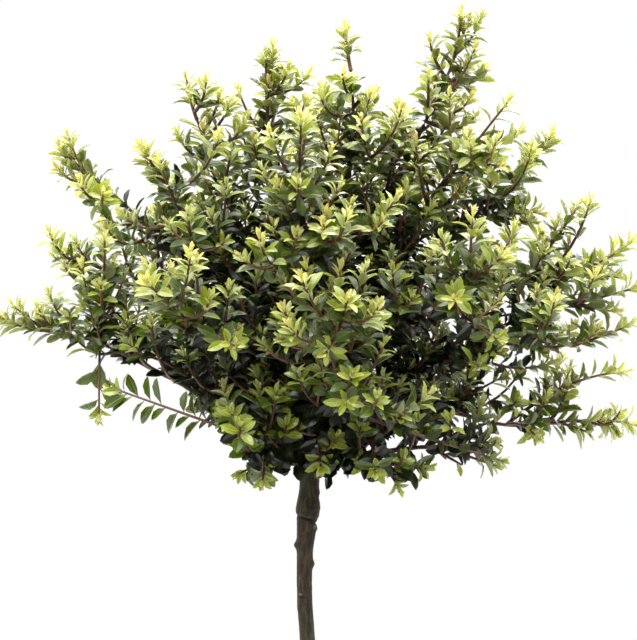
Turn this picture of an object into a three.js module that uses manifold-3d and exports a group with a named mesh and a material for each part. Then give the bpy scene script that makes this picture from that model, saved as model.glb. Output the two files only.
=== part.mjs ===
// A standard lollipop topiary: a small-leaved evergreen shrub grown as a loose, shaggy head on one slender
// clear stem. The trunk, each bough and each mass of foliage is a solid of its own.
// Millimetres and degrees, +Z up. The origin is the middle of the flat cut at ground level. The plant is seen
// from -Y, with +X to the right.

import * as THREE from "three";
import { mergeVertices } from "three/addons/utils/BufferGeometryUtils.js";
import Module from "manifold-3d";

const wasm = await Module();
wasm.setup();

// Trunk
const TRUNK_TOP = 1078;
const TRUNK_SIDES = 12;
// Height and radius: the root flare, the long taper, the swelling under the head and the part inside the head
const TRUNK_PROFILE = [
  [0, 19.5],
  [14, 15],
  [45, 12.4],
  [150, 11.2],
  [330, 10.5],
  [520, 9.9],
  [700, 9.4],
  [772, 9.2],
  [806, 9.7],
  [822, 11.3],
  [840, 11.7],
  [852, 12.6],
  [864, 11.2],
  [890, 10.8],
  [915, 11],
  [950, 9.8],
  [1020, 7.8],
  [TRUNK_TOP, 5.4],
];
const SWAY = 3; // how far the stem wanders to the side near its top
const SWAY_LENGTH = 250;
const SWAY_MIDDLE = 774; // height of its furthest point to the left
const DEPTH_SWAY = 2.4;
const DEPTH_SWAY_LENGTH = 430;
const SWAY_FULL = 720; // below this the stem grows straighter towards its foot
// Old knots and pruned stubs: height, turn round the stem, how far they stand out, and their half height
const KNOTS = [
  { height: 799, turn: 178, out: 3.4, size: 7 },
  { height: 781, turn: 4, out: 2.2, size: 6 },
  { height: 742, turn: 205, out: 0.8, size: 6 },
  { height: 521, turn: 70, out: 1.6, size: 8 },
  { height: 264, turn: 300, out: 1.7, size: 8 },
];
const KNOT_SPREAD = 34; // degrees round the stem
const RINGS_AT_KNOT = [-1, 0, 1]; // extra rings of the trunk's surface, in half heights from a knot's middle
const RING_CLEARANCE = 2; // least height between two rings

// Limbs: each runs from the trunk to one of the crown's tips, whose place was read from the photograph, or
// chosen for the sides that it doesn't show.
const FORK = new THREE.Vector3(0, 0, 915);
const LIMBS = [
  { name: "tall_leader", tip: [168, 30, 1383] },
  { name: "middle_top", tip: [42, -15, 1362] },
  { name: "left_top", tip: [-41, 45, 1343] },
  { name: "left_high", tip: [-128, -10, 1303] },
  { name: "left_crest", tip: [-172, -105, 1232] },
  { name: "left_outer", tip: [-262, 10, 1237] },
  { name: "left_shoulder", tip: [-270, 75, 1125] },
  { name: "left_long", tip: [-332, -5, 1072] },
  { name: "left_drooping", tip: [-235, -70, 1000] },
  { name: "right_high", tip: [212, -85, 1285] },
  { name: "right_shoulder", tip: [266, 40, 1250] },
  { name: "right_upper", tip: [335, 45, 1158] },
  { name: "right_long", tip: [347, -60, 1078] },
  { name: "right_low", tip: [342, -20, 972] },
  { name: "low_right", tip: [98, -165, 942] },
  { name: "front_right_low", tip: [215, -130, 945] },
  { name: "front_left_low", tip: [-75, -200, 944] },
  { name: "front_low", tip: [45, -285, 985] },
  { name: "front_middle", tip: [40, -300, 1060] },
  { name: "front_left", tip: [-155, -255, 1080] },
  { name: "front_right", tip: [195, -235, 1110] },
  { name: "front_high", tip: [-5, -235, 1245] },
  { name: "back_low", tip: [-20, 295, 965] },
  { name: "back_right_low", tip: [215, 220, 985] },
  { name: "back_left_low", tip: [-205, 205, 1010] },
  { name: "back_left", tip: [-165, 225, 1180] },
  { name: "back_middle", tip: [25, 280, 1135] },
  { name: "back_right_high", tip: [150, 215, 1250] },
  { name: "back_high", tip: [20, 165, 1305] },
];
const START_RISE = 20; // a limb leaves the trunk at this rise
const START_SHARE = 0.55; // plus this share of the rise from the fork to its tip
const ARCH = 0.45; // how far out its bend is, as a share of its reach from the fork
const BOUGH_SHARE = 0.42; // of a limb's path; its mass of foliage has the rest
const BOUGH_SIDES = 5;
const BOUGH_SEGMENTS = 3;
const BOUGH_RADIUS = 4.3;
const BOUGH_TIP_RADIUS = 3.5;
const STEM_RADIUS = 3.4;
const STEM_TIP_RADIUS = 1.5;
const STEM_SEGMENTS = 3;
const LOWEST_SPROUT = 886;
const SPROUT_STEP = 1;
const SPROUT_SAMPLES = 40; // points along a bough where it is tested against the boughs placed before it
const HIDDEN_ROOT = 3; // where a bough is nearer than this to the trunk's axis, it is inside the trunk
const ROOM_FOR_CORNERS = 1.06; // how much wider than its radius a bough with flat sides is taken to be
const GAP = 0.3; // between pieces that meet
const CLEARANCE = 0.5; // between pieces that only pass

// Laterals: the side shoots of each limb, by a seeded rule
const LATERALS = 5;
const LATERALS_FROM = 0.1; // of the stem's length
const LATERALS_TO = 0.84;
const LATERAL_LENGTH = 122;
const LATERAL_SHORTENING = 0.58; // from the first lateral to the last
const LATERAL_ANGLE = 52; // from the stem
const LATERAL_SCATTER = 0.14; // share by which their lengths differ
const PLACE_SCATTER = 0.15; // how near a lateral may come to the end of its part of the stem
const ANGLE_SCATTER = 8; // degrees by which shoots and leaves differ in their angle
const SIDE_SCATTER = 12; // and in their turn round the twig
const LATERAL_LIFT = 0.85; // how strongly it bends upwards
const LATERAL_BEND = 0.45; // where it bends, as a share of its length
const LATERAL_RADIUS = 1;
const LATERAL_TIP_RADIUS = 0.8;
const LATERAL_SEGMENTS = 2;
const TWIG_SIDES = 3;
const FIRST_SIDE = 30; // turn of the middle of a twig's first flat side
const SHOOT_STEPS = 6; // straight pieces that stand for a shoot where a leaf may cross it
const LEAST_BETWEEN_TIPS = 45;
const SEED = 7401;
const LEAF_SEED = 1000;
const SHORTER_TRIES = [1, 0.8, 0.6];
const CHECKED_SHARES = [0.2, 0.5, 0.75, 1]; // of a lateral's way, where its place is checked

// Leaves, larger than life and fewer than on the plant
const LEAF_LENGTH = 62;
const LEAF_WIDTH = 33;
const TIP_LEAF_LENGTH = 40;
const TIP_LEAF_WIDTH = 18;
const LEAF_THICKNESS = 1.4; // at the midrib
const WIDEST = 0.45; // of a leaf's length
const LEAF_FOLD = 0.06; // how far its edges stand above its midrib, as a share of its length
const LEAF_DROOP = 0.14; // how far its tip hangs, in the same way
const LEAF_SPACING = 27; // along a shoot
const FIRST_LEAF = 0.75; // of a spacing, from the shoot's start
const LAST_LEAF = 0.6; // of a spacing, from its end
const LEAF_ANGLE = 60; // from the shoot
const TIP_LEAF_ANGLE = 32;
const TIP_LEAVES = 3;
const TIP_LEAF_STEP = 2; // along the shoot, from one to the next

// Room
const CELL_CENTRE = 0.72; // of the way from the fork to a limb's tip: the middle of its foliage's space
const CELL_MARGIN = 0.5; // from that space's sides
const LOWEST_LEAF = 780; // no leaf reaches lower than this
const TRUNK_ROOM = 13.5; // radius that leaves and twigs keep off round the trunk above that
const CAPSULE_LENGTH = 20;

const BARK = { color: "#57503f", roughness: 0.85 };
const YOUNG_BARK = { color: "#6b5a48", roughness: 0.8 };
const FOLIAGE = { color: "#4f7a35", roughness: 0.45 };

const UP = new THREE.Vector3(0, 0, 1);
const SIDEWAYS = new THREE.Vector3(1, 0, 0);

// Numbers from low to high that are the same on every run.
function randomFrom(seed) {
  let state = (seed * 747796405 + 2891336453) % 4294967296;
  return (low, high) => {
    state = (state * 1664525 + 1013904223) % 4294967296;
    return low + ((high - low) * state) / 4294967296;
  };
}

function heading(turn, rise) {
  const a = THREE.MathUtils.degToRad(turn);
  const e = THREE.MathUtils.degToRad(rise);
  return new THREE.Vector3(Math.cos(a) * Math.cos(e), Math.sin(a) * Math.cos(e), Math.sin(e));
}

function trunkAxis(height) {
  const held = THREE.MathUtils.smoothstep(height, 0, SWAY_FULL);
  const side = Math.cos((2 * Math.PI * (height - SWAY_MIDDLE)) / SWAY_LENGTH);
  const depth = Math.sin((2 * Math.PI * height) / DEPTH_SWAY_LENGTH);
  return new THREE.Vector3(-SWAY * held * side, DEPTH_SWAY * held * depth, height);
}

function knotsAt(height, turn) {
  return KNOTS.reduce((sum, knot) => {
    const up = (height - knot.height) / knot.size;
    const round = (THREE.MathUtils.euclideanModulo(turn - knot.turn + 180, 360) - 180) / KNOT_SPREAD;
    return sum + knot.out * Math.exp(-up * up - round * round);
  }, 0);
}

// A three.js geometry as an exact solid.
function solidOf(geometry) {
  geometry.deleteAttribute("normal");
  geometry.deleteAttribute("uv");
  const merged = mergeVertices(geometry, 1e-4);
  return new wasm.Manifold(
    new wasm.Mesh({
      numProp: 3,
      vertProperties: merged.attributes.position.array,
      triVerts: new Uint32Array(merged.index.array),
    }),
  );
}

function geometryOf(solid) {
  const mesh = solid.getMesh();
  const positions = new Float32Array(mesh.numVert * 3);
  for (let i = 0; i < mesh.numVert; i++) {
    positions.set(mesh.vertProperties.subarray(i * mesh.numProp, i * mesh.numProp + 3), i * 3);
  }
  return new THREE.BufferGeometry()
    .setAttribute("position", new THREE.BufferAttribute(positions, 3))
    .setIndex(new THREE.BufferAttribute(mesh.triVerts, 1));
}

// The largest closed shell, which drops loose scraps and fills sealed hollows.
function largestShell(solid) {
  return solid.decompose().reduce((best, body) => (body.volume() > best.volume() ? body : best));
}

function moveVertices(geometry, move) {
  const position = geometry.attributes.position;
  const vertex = new THREE.Vector3();
  for (let i = 0; i < position.count; i++) {
    vertex.fromBufferAttribute(position, i);
    const moved = move(vertex);
    position.setXYZ(i, moved.x, moved.y, moved.z);
  }
  return geometry;
}

// The trunk's surface, grown outwards by swell.
function trunkGeometry(swell = 0) {
  const profile = TRUNK_PROFILE.flatMap(([height, radius], i) => {
    const [next, nextRadius] = TRUNK_PROFILE[i + 1] ?? [Infinity, radius];
    const extra = KNOTS.flatMap((knot) => RINGS_AT_KNOT.map((side) => knot.height + side * knot.size))
      .filter((ring) => ring > height + RING_CLEARANCE && ring < next - RING_CLEARANCE)
      .sort((a, b) => a - b)
      .map((ring) => [ring, THREE.MathUtils.mapLinear(ring, height, next, radius, nextRadius)]);
    return [[height, radius], ...extra];
  });
  const points = profile.map(([height, radius]) => new THREE.Vector2(radius + swell, height));
  const foot = new THREE.Vector2(0, -swell);
  const tip = new THREE.Vector2(0, TRUNK_TOP + swell);
  points[0].y -= swell;
  points[points.length - 1].y += swell;
  const lathe = new THREE.LatheGeometry([foot, ...points, tip], TRUNK_SIDES).rotateX(Math.PI / 2);
  return moveVertices(lathe, (v) => {
    const radius = Math.hypot(v.x, v.y);
    const turn = THREE.MathUtils.radToDeg(Math.atan2(v.y, v.x));
    const share = radius > 1 ? 1 + knotsAt(v.z, turn) / radius : 1;
    const axis = trunkAxis(v.z);
    return new THREE.Vector3(axis.x + v.x * share, axis.y + v.y * share, v.z);
  });
}

// The two directions square to a planar curve at t, and its own.
function frameAt(curve, t) {
  const along = curve.getTangent(t);
  const bend = new THREE.Vector3().crossVectors(
    new THREE.Vector3().subVectors(curve.v1, curve.v0),
    new THREE.Vector3().subVectors(curve.v2, curve.v1),
  );
  const spare = Math.abs(along.z) < 0.9 ? UP : SIDEWAYS;
  if (bend.length() < 1e-6) bend.crossVectors(along, spare);
  const side = bend.normalize();
  return { along, side, normal: new THREE.Vector3().crossVectors(side, along) };
}

// A shoot is a stretch of a curve made of straight segments. This is the point on its axis at a share of
// its way.
function axisPoint({ curve, from, to, segments }, share) {
  const step = Math.min(Math.floor(share * segments), segments - 1);
  const start = curve.getPoint(THREE.MathUtils.lerp(from, to, step / segments));
  const end = curve.getPoint(THREE.MathUtils.lerp(from, to, (step + 1) / segments));
  return start.lerp(end, share * segments - step);
}

// A shoot as a tapering solid with flat ends.
function taperedTube(shoot, sides) {
  const { curve, from, to, segments, radii } = shoot;
  const tube = new THREE.CylinderGeometry(radii[1], radii[0], 1, sides, segments);
  return moveVertices(tube, (v) => {
    const t = THREE.MathUtils.lerp(from, to, v.y + 0.5);
    const { side, normal } = frameAt(curve, t);
    return curve.getPoint(t).addScaledVector(side, v.x).addScaledVector(normal, v.z);
  });
}

function speedAt(curve, t) {
  const start = new THREE.Vector3().subVectors(curve.v1, curve.v0).multiplyScalar(2 * (1 - t));
  return start.add(new THREE.Vector3().subVectors(curve.v2, curve.v1).multiplyScalar(2 * t)).length();
}

// A limb as the fork sees it: its turn counted from +X towards +Y, its rise from the level, and its reach.
function limbTo({ name, tip }) {
  const end = new THREE.Vector3(...tip);
  const out = end.clone().sub(FORK);
  const turn = THREE.MathUtils.radToDeg(Math.atan2(out.y, out.x));
  const rise = THREE.MathUtils.radToDeg(Math.asin(out.z / out.length()));
  return { name, end, turn, rise, reach: out.length() };
}

function pathFrom(sprout, { end, turn, rise, reach }) {
  const start = trunkAxis(sprout);
  const leaving = heading(turn, START_RISE + START_SHARE * rise);
  const bend = start.clone().addScaledVector(leaving, reach * ARCH);
  return new THREE.QuadraticBezierCurve3(start, bend, end);
}

function boughOf(curve) {
  const radii = [BOUGH_RADIUS, BOUGH_TIP_RADIUS];
  return { curve, from: 0, to: BOUGH_SHARE, segments: BOUGH_SEGMENTS, radii };
}

// The stem of a limb's foliage, which goes on from its bough's tip.
function stemOf(curve) {
  const from = BOUGH_SHARE + GAP / speedAt(curve, BOUGH_SHARE);
  return { curve, from, to: 1, segments: STEM_SEGMENTS, radii: [STEM_RADIUS, STEM_TIP_RADIUS] };
}

// Points along a bough that lie outside the trunk, each with the bough's radius there.
function boughSamples(curve) {
  const samples = [];
  for (let i = 0; i <= SPROUT_SAMPLES; i++) {
    const share = i / SPROUT_SAMPLES;
    const at = axisPoint(boughOf(curve), share);
    const radius = THREE.MathUtils.lerp(BOUGH_RADIUS, BOUGH_TIP_RADIUS, share);
    if (at.distanceTo(trunkAxis(at.z)) > HIDDEN_ROOT || at.z > TRUNK_TOP) samples.push({ at, radius });
  }
  return samples;
}

// The limbs, the flattest first, each leaving the trunk as low as it can without touching one before it.
function growLimbs() {
  const placed = [];
  const limbs = LIMBS.map(limbTo).sort((a, b) => a.rise - b.rise);
  limbs.forEach((limb, i) => {
    for (let sprout = LOWEST_SPROUT; ; sprout += SPROUT_STEP) {
      const curve = pathFrom(sprout, limb);
      const samples = boughSamples(curve);
      const touching = (a, b) => a.at.distanceTo(b.at) < ROOM_FOR_CORNERS * (a.radius + b.radius) + CLEARANCE;
      const touches = placed.some((other) => samples.some((a) => other.samples.some((b) => touching(a, b))));
      if (!touches) {
        placed.push({ ...limb, curve, samples, seed: SEED + i });
        return;
      }
    }
  });
  return placed;
}

// Shortest distance between the segments a to b and c to d.
function segmentDistance(a, b, c, d) {
  const u = new THREE.Vector3().subVectors(b, a);
  const v = new THREE.Vector3().subVectors(d, c);
  const w = new THREE.Vector3().subVectors(a, c);
  const uu = u.dot(u);
  const uv = u.dot(v);
  const vv = v.dot(v);
  const uw = u.dot(w);
  const vw = v.dot(w);
  const spread = uu * vv - uv * uv;
  let s = spread > 1e-9 ? THREE.MathUtils.clamp((uv * vw - vv * uw) / spread, 0, 1) : 0;
  const t = THREE.MathUtils.clamp((uv * s + vw) / vv, 0, 1);
  s = THREE.MathUtils.clamp((uv * t - uw) / uu, 0, 1);
  const onFirst = a.clone().addScaledVector(u, s);
  return onFirst.distanceTo(c.clone().addScaledVector(v, t));
}

// Each limb's foliage keeps to the space that is nearer to its own middle than to any other's, and not
// beyond its reach.
function cellTest(limbs) {
  const centres = limbs.map(({ end }) => FORK.clone().lerp(end, CELL_CENTRE));
  return (i, point, margin) => {
    const { turn, rise, reach } = limbs[i];
    const out = point.clone().sub(FORK).dot(heading(turn, rise));
    if (out > reach + TIP_LEAF_LENGTH - margin) return false;
    return centres.every((centre, j) => {
      if (j === i) return true;
      const between = centre.distanceTo(centres[i]);
      const inside = (point.distanceToSquared(centre) - point.distanceToSquared(centres[i])) / (2 * between);
      return inside > margin;
    });
  };
}

// A shoot's straight segments, each with the radius that the shoot starts with.
function capsulesAlong(shoot, owner) {
  return Array.from({ length: shoot.segments }, (_, k) => ({
    from: axisPoint(shoot, k / shoot.segments),
    to: axisPoint(shoot, (k + 1) / shoot.segments),
    radius: shoot.radii[0],
    owner,
  }));
}

// What leaves and twigs keep off: the trunk's head, every bough, and every stem but their own.
function obstaclesFrom(limbs) {
  const capsules = [];
  for (let height = LOWEST_LEAF; height < TRUNK_TOP; height += CAPSULE_LENGTH) {
    const top = Math.min(height + CAPSULE_LENGTH, TRUNK_TOP);
    capsules.push({ from: trunkAxis(height), to: trunkAxis(top), radius: TRUNK_ROOM });
  }
  limbs.forEach(({ curve, name }) => {
    capsules.push(...capsulesAlong(boughOf(curve)), ...capsulesAlong(stemOf(curve), name));
  });
  return capsules;
}

function keepsOff(capsules, name, from, to, halfWidth) {
  return capsules.every(
    (c) => c.owner === name || segmentDistance(from, to, c.from, c.to) > c.radius + halfWidth + CLEARANCE,
  );
}

// The turn round a twig to the middle of its kth flat side. Shoots and leaves are rooted there.
function sideTurn(k) {
  return FIRST_SIDE + (360 * k) / TWIG_SIDES;
}

// The turns of a twig's three sides, starting from the kth, each a little off the middle of its side.
function sideTurns(k, random) {
  return [k, k + 1, k + 2].map((side) => sideTurn(side) + random(-SIDE_SCATTER, SIDE_SCATTER));
}

// A side shoot that leaves a stem at a share of its way, on one of its flat sides, and bends upwards.
function lateralAt(stem, share, around, angle, length) {
  const frame = frameAt(stem.curve, THREE.MathUtils.lerp(stem.from, stem.to, share));
  const turn = THREE.MathUtils.degToRad(around);
  const lean = THREE.MathUtils.degToRad(angle);
  const outwards = frame.side.multiplyScalar(Math.cos(turn)).addScaledVector(frame.normal, Math.sin(turn));
  const leaving = frame.along.multiplyScalar(Math.cos(lean)).addScaledVector(outwards, Math.sin(lean));
  const ending = leaving.clone().addScaledVector(UP, LATERAL_LIFT).normalize();
  const start = axisPoint(stem, share);
  const bend = start.clone().addScaledVector(leaving, length * LATERAL_BEND);
  const tip = bend.clone().addScaledVector(ending, length * (1 - LATERAL_BEND));
  const curve = new THREE.QuadraticBezierCurve3(start, bend, tip);
  return { curve, from: 0, to: 1, segments: LATERAL_SEGMENTS, radii: [LATERAL_RADIUS, LATERAL_TIP_RADIUS] };
}

// The side shoots of a stem, each on the first side and at the fullest length that fits.
function lateralsOf(stem, seed, fits) {
  const random = randomFrom(seed);
  const laterals = [];
  for (let k = 0; k < LATERALS; k++) {
    const share = (k + random(PLACE_SCATTER, 1 - PLACE_SCATTER)) / LATERALS;
    const scatter = random(1 - LATERAL_SCATTER, 1 + LATERAL_SCATTER);
    const length = LATERAL_LENGTH * (1 - LATERAL_SHORTENING * share) * scatter;
    const place = THREE.MathUtils.lerp(LATERALS_FROM, LATERALS_TO, share);
    const angle = LATERAL_ANGLE + random(-ANGLE_SCATTER, ANGLE_SCATTER);
    const sides = sideTurns(k + seed, random);
    const tries = SHORTER_TRIES.flatMap((shorter) =>
      sides.map((around) => lateralAt(stem, place, around, angle, shorter * length)),
    );
    const lateral = tries.find((shoot) => fits(shoot, laterals));
    if (lateral) laterals.push(lateral);
  }
  return laterals;
}

// A leaf's corners. It is rooted on its shoot's axis, folded along its midrib, and its tip hangs.
function leafAt(shoot, share, around, angle, length, width) {
  const t = THREE.MathUtils.lerp(shoot.from, shoot.to, share);
  const { along, side, normal } = frameAt(shoot.curve, t);
  const turn = THREE.MathUtils.degToRad(around);
  const lean = THREE.MathUtils.degToRad(angle);
  const outwards = side.multiplyScalar(Math.cos(turn)).addScaledVector(normal, Math.sin(turn));
  const blade = along.clone().multiplyScalar(Math.cos(lean)).addScaledVector(outwards, Math.sin(lean));
  const face = along.multiplyScalar(Math.sin(lean)).addScaledVector(outwards, -Math.cos(lean));
  const across = new THREE.Vector3().crossVectors(face, blade);
  const base = axisPoint(shoot, share);
  const corner = (forward, up, sideways) =>
    base.clone().addScaledVector(blade, forward).addScaledVector(face, up).addScaledVector(across, sideways);
  return {
    base,
    tip: corner(length, -LEAF_DROOP * length, 0),
    left: corner(WIDEST * length, LEAF_FOLD * length, width / 2),
    right: corner(WIDEST * length, LEAF_FOLD * length, -width / 2),
    keel: corner(WIDEST * length, -LEAF_DROOP * WIDEST * length - LEAF_THICKNESS, 0),
    halfWidth: width / 2,
  };
}

function leafGeometry(leaf) {
  return moveVertices(new THREE.SphereGeometry(1, 3, 2), (v) => {
    if (v.y > 0.5) return leaf.tip;
    if (v.y < -0.5) return leaf.base;
    if (v.x < 0) return leaf.keel;
    return v.z > 0 ? leaf.left : leaf.right;
  });
}

// The places that the rule gives a shoot's leaves: in turn on its flat sides, with a tuft at its end. Each
// place has the leaf on one side after another, to be tried in that order.
function leafPlaces(shoot, random) {
  const length = shoot.curve.getLength() * (shoot.to - shoot.from);
  const count = Math.floor((length - TIP_LEAVES * TIP_LEAF_STEP) / LEAF_SPACING);
  const places = [];
  for (let k = 0; k < count; k++) {
    const angle = LEAF_ANGLE + random(-ANGLE_SCATTER, ANGLE_SCATTER);
    const share = (k + FIRST_LEAF) / (count + LAST_LEAF);
    const sides = sideTurns(k, random);
    places.push(sides.map((around) => leafAt(shoot, share, around, angle, LEAF_LENGTH, LEAF_WIDTH)));
  }
  for (let k = 0; k < TIP_LEAVES; k++) {
    const share = 1 - ((k + FIRST_LEAF) * TIP_LEAF_STEP) / length;
    places.push([leafAt(shoot, share, sideTurn(k + count), TIP_LEAF_ANGLE, TIP_LEAF_LENGTH, TIP_LEAF_WIDTH)]);
  }
  return places;
}

// Whether the segment from a to b goes through a leaf.
function pierces(a, b, leaf) {
  const way = new THREE.Vector3().subVectors(b, a);
  const length = way.length();
  const ray = new THREE.Ray(a, way.divideScalar(length));
  const hit = new THREE.Vector3();
  return [leaf.left, leaf.right].some(
    (edge) => ray.intersectTriangle(leaf.base, leaf.tip, edge, false, hit) && hit.distanceTo(a) < length,
  );
}

function edgesOf({ base, tip, left, right }) {
  return [[base, left], [left, tip], [base, right], [right, tip], [base, tip]];
}

function leavesCross(first, second) {
  return (
    edgesOf(first).some(([a, b]) => pierces(a, b, second)) ||
    edgesOf(second).some(([a, b]) => pierces(a, b, first))
  );
}

function shootPierces(shoot, leaf) {
  for (let i = 0; i < SHOOT_STEPS; i++) {
    const start = axisPoint(shoot, i / SHOOT_STEPS);
    const end = axisPoint(shoot, (i + 1) / SHOOT_STEPS);
    if (pierces(start, end, leaf)) return true;
  }
  return false;
}

// A mass of foliage: the limb's stem beyond its bough, its laterals and their leaves, fused into one solid.
function growMass(limb, i, inCell, capsules) {
  const stem = stemOf(limb.curve);
  const twigFits = (shoot, others) =>
    CHECKED_SHARES.every((share) => inCell(i, axisPoint(shoot, share), LATERAL_RADIUS + CELL_MARGIN)) &&
    keepsOff(capsules, limb.name, axisPoint(shoot, CHECKED_SHARES[0]), axisPoint(shoot, 1), LATERAL_RADIUS) &&
    others.every((other) => axisPoint(other, 1).distanceTo(axisPoint(shoot, 1)) > LEAST_BETWEEN_TIPS);
  const shoots = [stem, ...lateralsOf(stem, limb.seed, twigFits)];
  const leaves = [];
  const leafFits = (leaf, own) =>
    [leaf.tip, leaf.left, leaf.right, leaf.keel].every((corner) => inCell(i, corner, CELL_MARGIN)) &&
    keepsOff(capsules, limb.name, leaf.base, leaf.tip, leaf.halfWidth) &&
    !leaves.some((other) => leavesCross(leaf, other)) &&
    !shoots.some((other) => other !== own && shootPierces(other, leaf));
  const random = randomFrom(limb.seed + LEAF_SEED);
  shoots.forEach((shoot) => {
    leafPlaces(shoot, random).forEach((tries) => {
      const leaf = tries.find((one) => leafFits(one, shoot));
      if (leaf) leaves.push(leaf);
    });
  });
  const twigs = shoots.map((shoot) => taperedTube(shoot, TWIG_SIDES));
  const solids = [...twigs, ...leaves.map(leafGeometry)].map(solidOf);
  return largestShell(wasm.Manifold.union(solids));
}

function addMesh(group, name, geometry, finish) {
  const material = new THREE.MeshStandardMaterial({ ...finish, metalness: 0 });
  const mesh = new THREE.Mesh(geometry, material);
  mesh.name = name;
  group.add(mesh);
}

function buildPlant() {
  const plant = new THREE.Group();
  const limbs = growLimbs();
  const inCell = cellTest(limbs);
  const capsules = obstaclesFrom(limbs);
  const trunkRoom = solidOf(trunkGeometry(GAP));
  addMesh(plant, "trunk", geometryOf(solidOf(trunkGeometry())), BARK);
  limbs.forEach((limb, i) => {
    const bough = boughOf(limb.curve);
    const wood = largestShell(solidOf(taperedTube(bough, BOUGH_SIDES)).subtract(trunkRoom));
    addMesh(plant, `bough_${limb.name}`, geometryOf(wood), YOUNG_BARK);
    addMesh(plant, `foliage_${limb.name}`, geometryOf(growMass(limb, i, inCell, capsules)), FOLIAGE);
  });
  return plant;
}

export default buildPlant();
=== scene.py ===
# The looks of a standard lollipop topiary: a small-leaved evergreen shrub, grown as a loose and shaggy head
# on one slender clear stem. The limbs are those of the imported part. The same rule is carried on here to finer
# shoots and twigs, each with its own small leaves.
# The growth is worked out in millimetres and degrees, +Z up, seen from -Y. MM turns it into Blender's metres.

import math
import random

import bpy
import numpy as np
from mathutils import Matrix, Vector, noise

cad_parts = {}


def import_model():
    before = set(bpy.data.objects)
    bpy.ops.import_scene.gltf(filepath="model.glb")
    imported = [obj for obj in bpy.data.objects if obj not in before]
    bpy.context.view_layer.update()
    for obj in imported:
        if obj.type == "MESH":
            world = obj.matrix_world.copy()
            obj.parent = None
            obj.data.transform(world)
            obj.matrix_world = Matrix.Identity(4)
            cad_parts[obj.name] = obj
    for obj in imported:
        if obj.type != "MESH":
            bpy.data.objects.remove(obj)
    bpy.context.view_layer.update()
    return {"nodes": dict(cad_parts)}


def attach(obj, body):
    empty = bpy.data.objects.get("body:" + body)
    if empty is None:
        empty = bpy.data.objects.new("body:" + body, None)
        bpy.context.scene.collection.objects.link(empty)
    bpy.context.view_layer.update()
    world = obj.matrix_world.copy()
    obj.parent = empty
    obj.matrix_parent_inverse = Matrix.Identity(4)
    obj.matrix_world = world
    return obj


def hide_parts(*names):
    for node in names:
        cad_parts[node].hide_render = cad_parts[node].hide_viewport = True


MM = 0.001
UP = Vector((0, 0, 1))
FRONT = Vector((0, -1, 0))

# Trunk
TRUNK_PROFILE = [
    (0, 19.5),
    (14, 15),
    (45, 12.4),
    (150, 11.2),
    (330, 10.5),
    (520, 9.3),
    (700, 8.3),
    (772, 8.5),
    (806, 9.0),
    (822, 10.4),
    (838, 11.4),
    (852, 12.6),
    (864, 11.2),
    (890, 10.8),
    (915, 11),
    (950, 9.8),
    (1020, 7.8),
    (1078, 5.4),
]
# How far the trunk sways to its sides and in depth, the length of one sway, and where it is at its fullest
SWAY = 3
SWAY_LENGTH = 250
SWAY_MIDDLE = 774
DEPTH_SWAY = 2.4
DEPTH_SWAY_LENGTH = 430
SWAY_FULL = 720
# Knots and pruned stubs: height, turn, how far they stand out, half height
KNOTS = [
    (811, 184, 3.2, 4.5),
    (829, 352, 1.3, 2.6),
    (790, 4, 2.3, 4),
    (869, 356, 1.2, 3.5),
    (742, 205, 0.8, 6),
    (521, 70, 1.6, 8),
    (264, 300, 1.7, 8),
]
KNOT_SPREAD = 34
# Creases round the bark: height, turn of the middle, half width of the turn, depth. The depth also sets how
# dark the creases are painted, as painted shade.
CREASES = [
    (841, 240, 80, 1.3),
    (838, 0, 60, 1.8),
    (754, 245, 45, 0.8),
    (612, 120, 70, 0.5),
    (433, 320, 60, 0.6),
    (188, 200, 70, 0.5),
]
CREASE_HEIGHT = 1.5
# The collar under the head: where it starts and ends, and how far it stands out
COLLAR = (842, 845, 858, 872)
COLLAR_OUT = 0.9
COLLAR_SLANT = 2.6  # how much lower it lies on the right
COLLAR_SLANT_FROM = (800, 835)
# Healed cuts: height, turn of the middle, half width of the turn, half height
SCARS = [(757.5, 238, 20, 1.2), (832, 322, 13, 2.6)]
SCAR_OUT = 0.5
# Long shallow ridges in the bark and the finer grain on them: across, along and height
RIDGES = (0.22, 0.035, 0.55)
GRAIN = (0.8, 0.25, 0.25)
TRUNK_SIDES = 64
RING_STEP = 4
FINE_STEP = 1
FINE_RINGS = (735, 885)

# Limbs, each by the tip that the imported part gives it. They all seem to spread from the fork.
FORK = Vector((0, 0, 915))
LIMBS = {
    "tall_leader": (168, 30, 1383),
    "middle_top": (42, -15, 1362),
    "left_top": (-41, 45, 1343),
    "left_high": (-128, -10, 1303),
    "left_crest": (-172, -105, 1232),
    "left_outer": (-262, 10, 1237),
    "left_shoulder": (-270, 75, 1125),
    "left_long": (-332, -5, 1072),
    "left_drooping": (-235, -70, 1000),
    "right_high": (212, -85, 1285),
    "right_shoulder": (266, 40, 1250),
    "right_upper": (335, 45, 1158),
    "right_long": (347, -60, 1078),
    "right_low": (342, -20, 972),
    "low_right": (98, -165, 942),
    "front_right_low": (215, -130, 945),
    "front_left_low": (-75, -200, 944),
    "front_low": (45, -285, 985),
    "front_middle": (40, -300, 1060),
    "front_left": (-155, -255, 1080),
    "front_right": (195, -235, 1110),
    "front_high": (-5, -235, 1245),
    "back_low": (-20, 295, 965),
    "back_right_low": (215, 220, 985),
    "back_left_low": (-205, 205, 1010),
    "back_left": (-165, 225, 1180),
    "back_middle": (25, 280, 1135),
    "back_right_high": (150, 215, 1250),
    "back_high": (20, 165, 1305),
}
START_RISE = 20  # how steeply a level limb leaves the trunk,
START_SHARE = 0.55  # and how much of its own rise a limb adds to that
ARCH = 0.45
BOUGH_SHARE = 0.42  # share of the limb that is bare bough
BOUGH_RADIUS = 4.3
BOUGH_TIP_RADIUS = 3.5
LIMB_TIP_RADIUS = 1.1
LOWEST_SPROUT = 886
SPROUT_SAMPLES = 40
HIDDEN_ROOT = 3  # distance from the trunk's middle in which limbs may touch
ROOM_FOR_CORNERS = 1.06
CLEARANCE = 0.5
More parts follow.
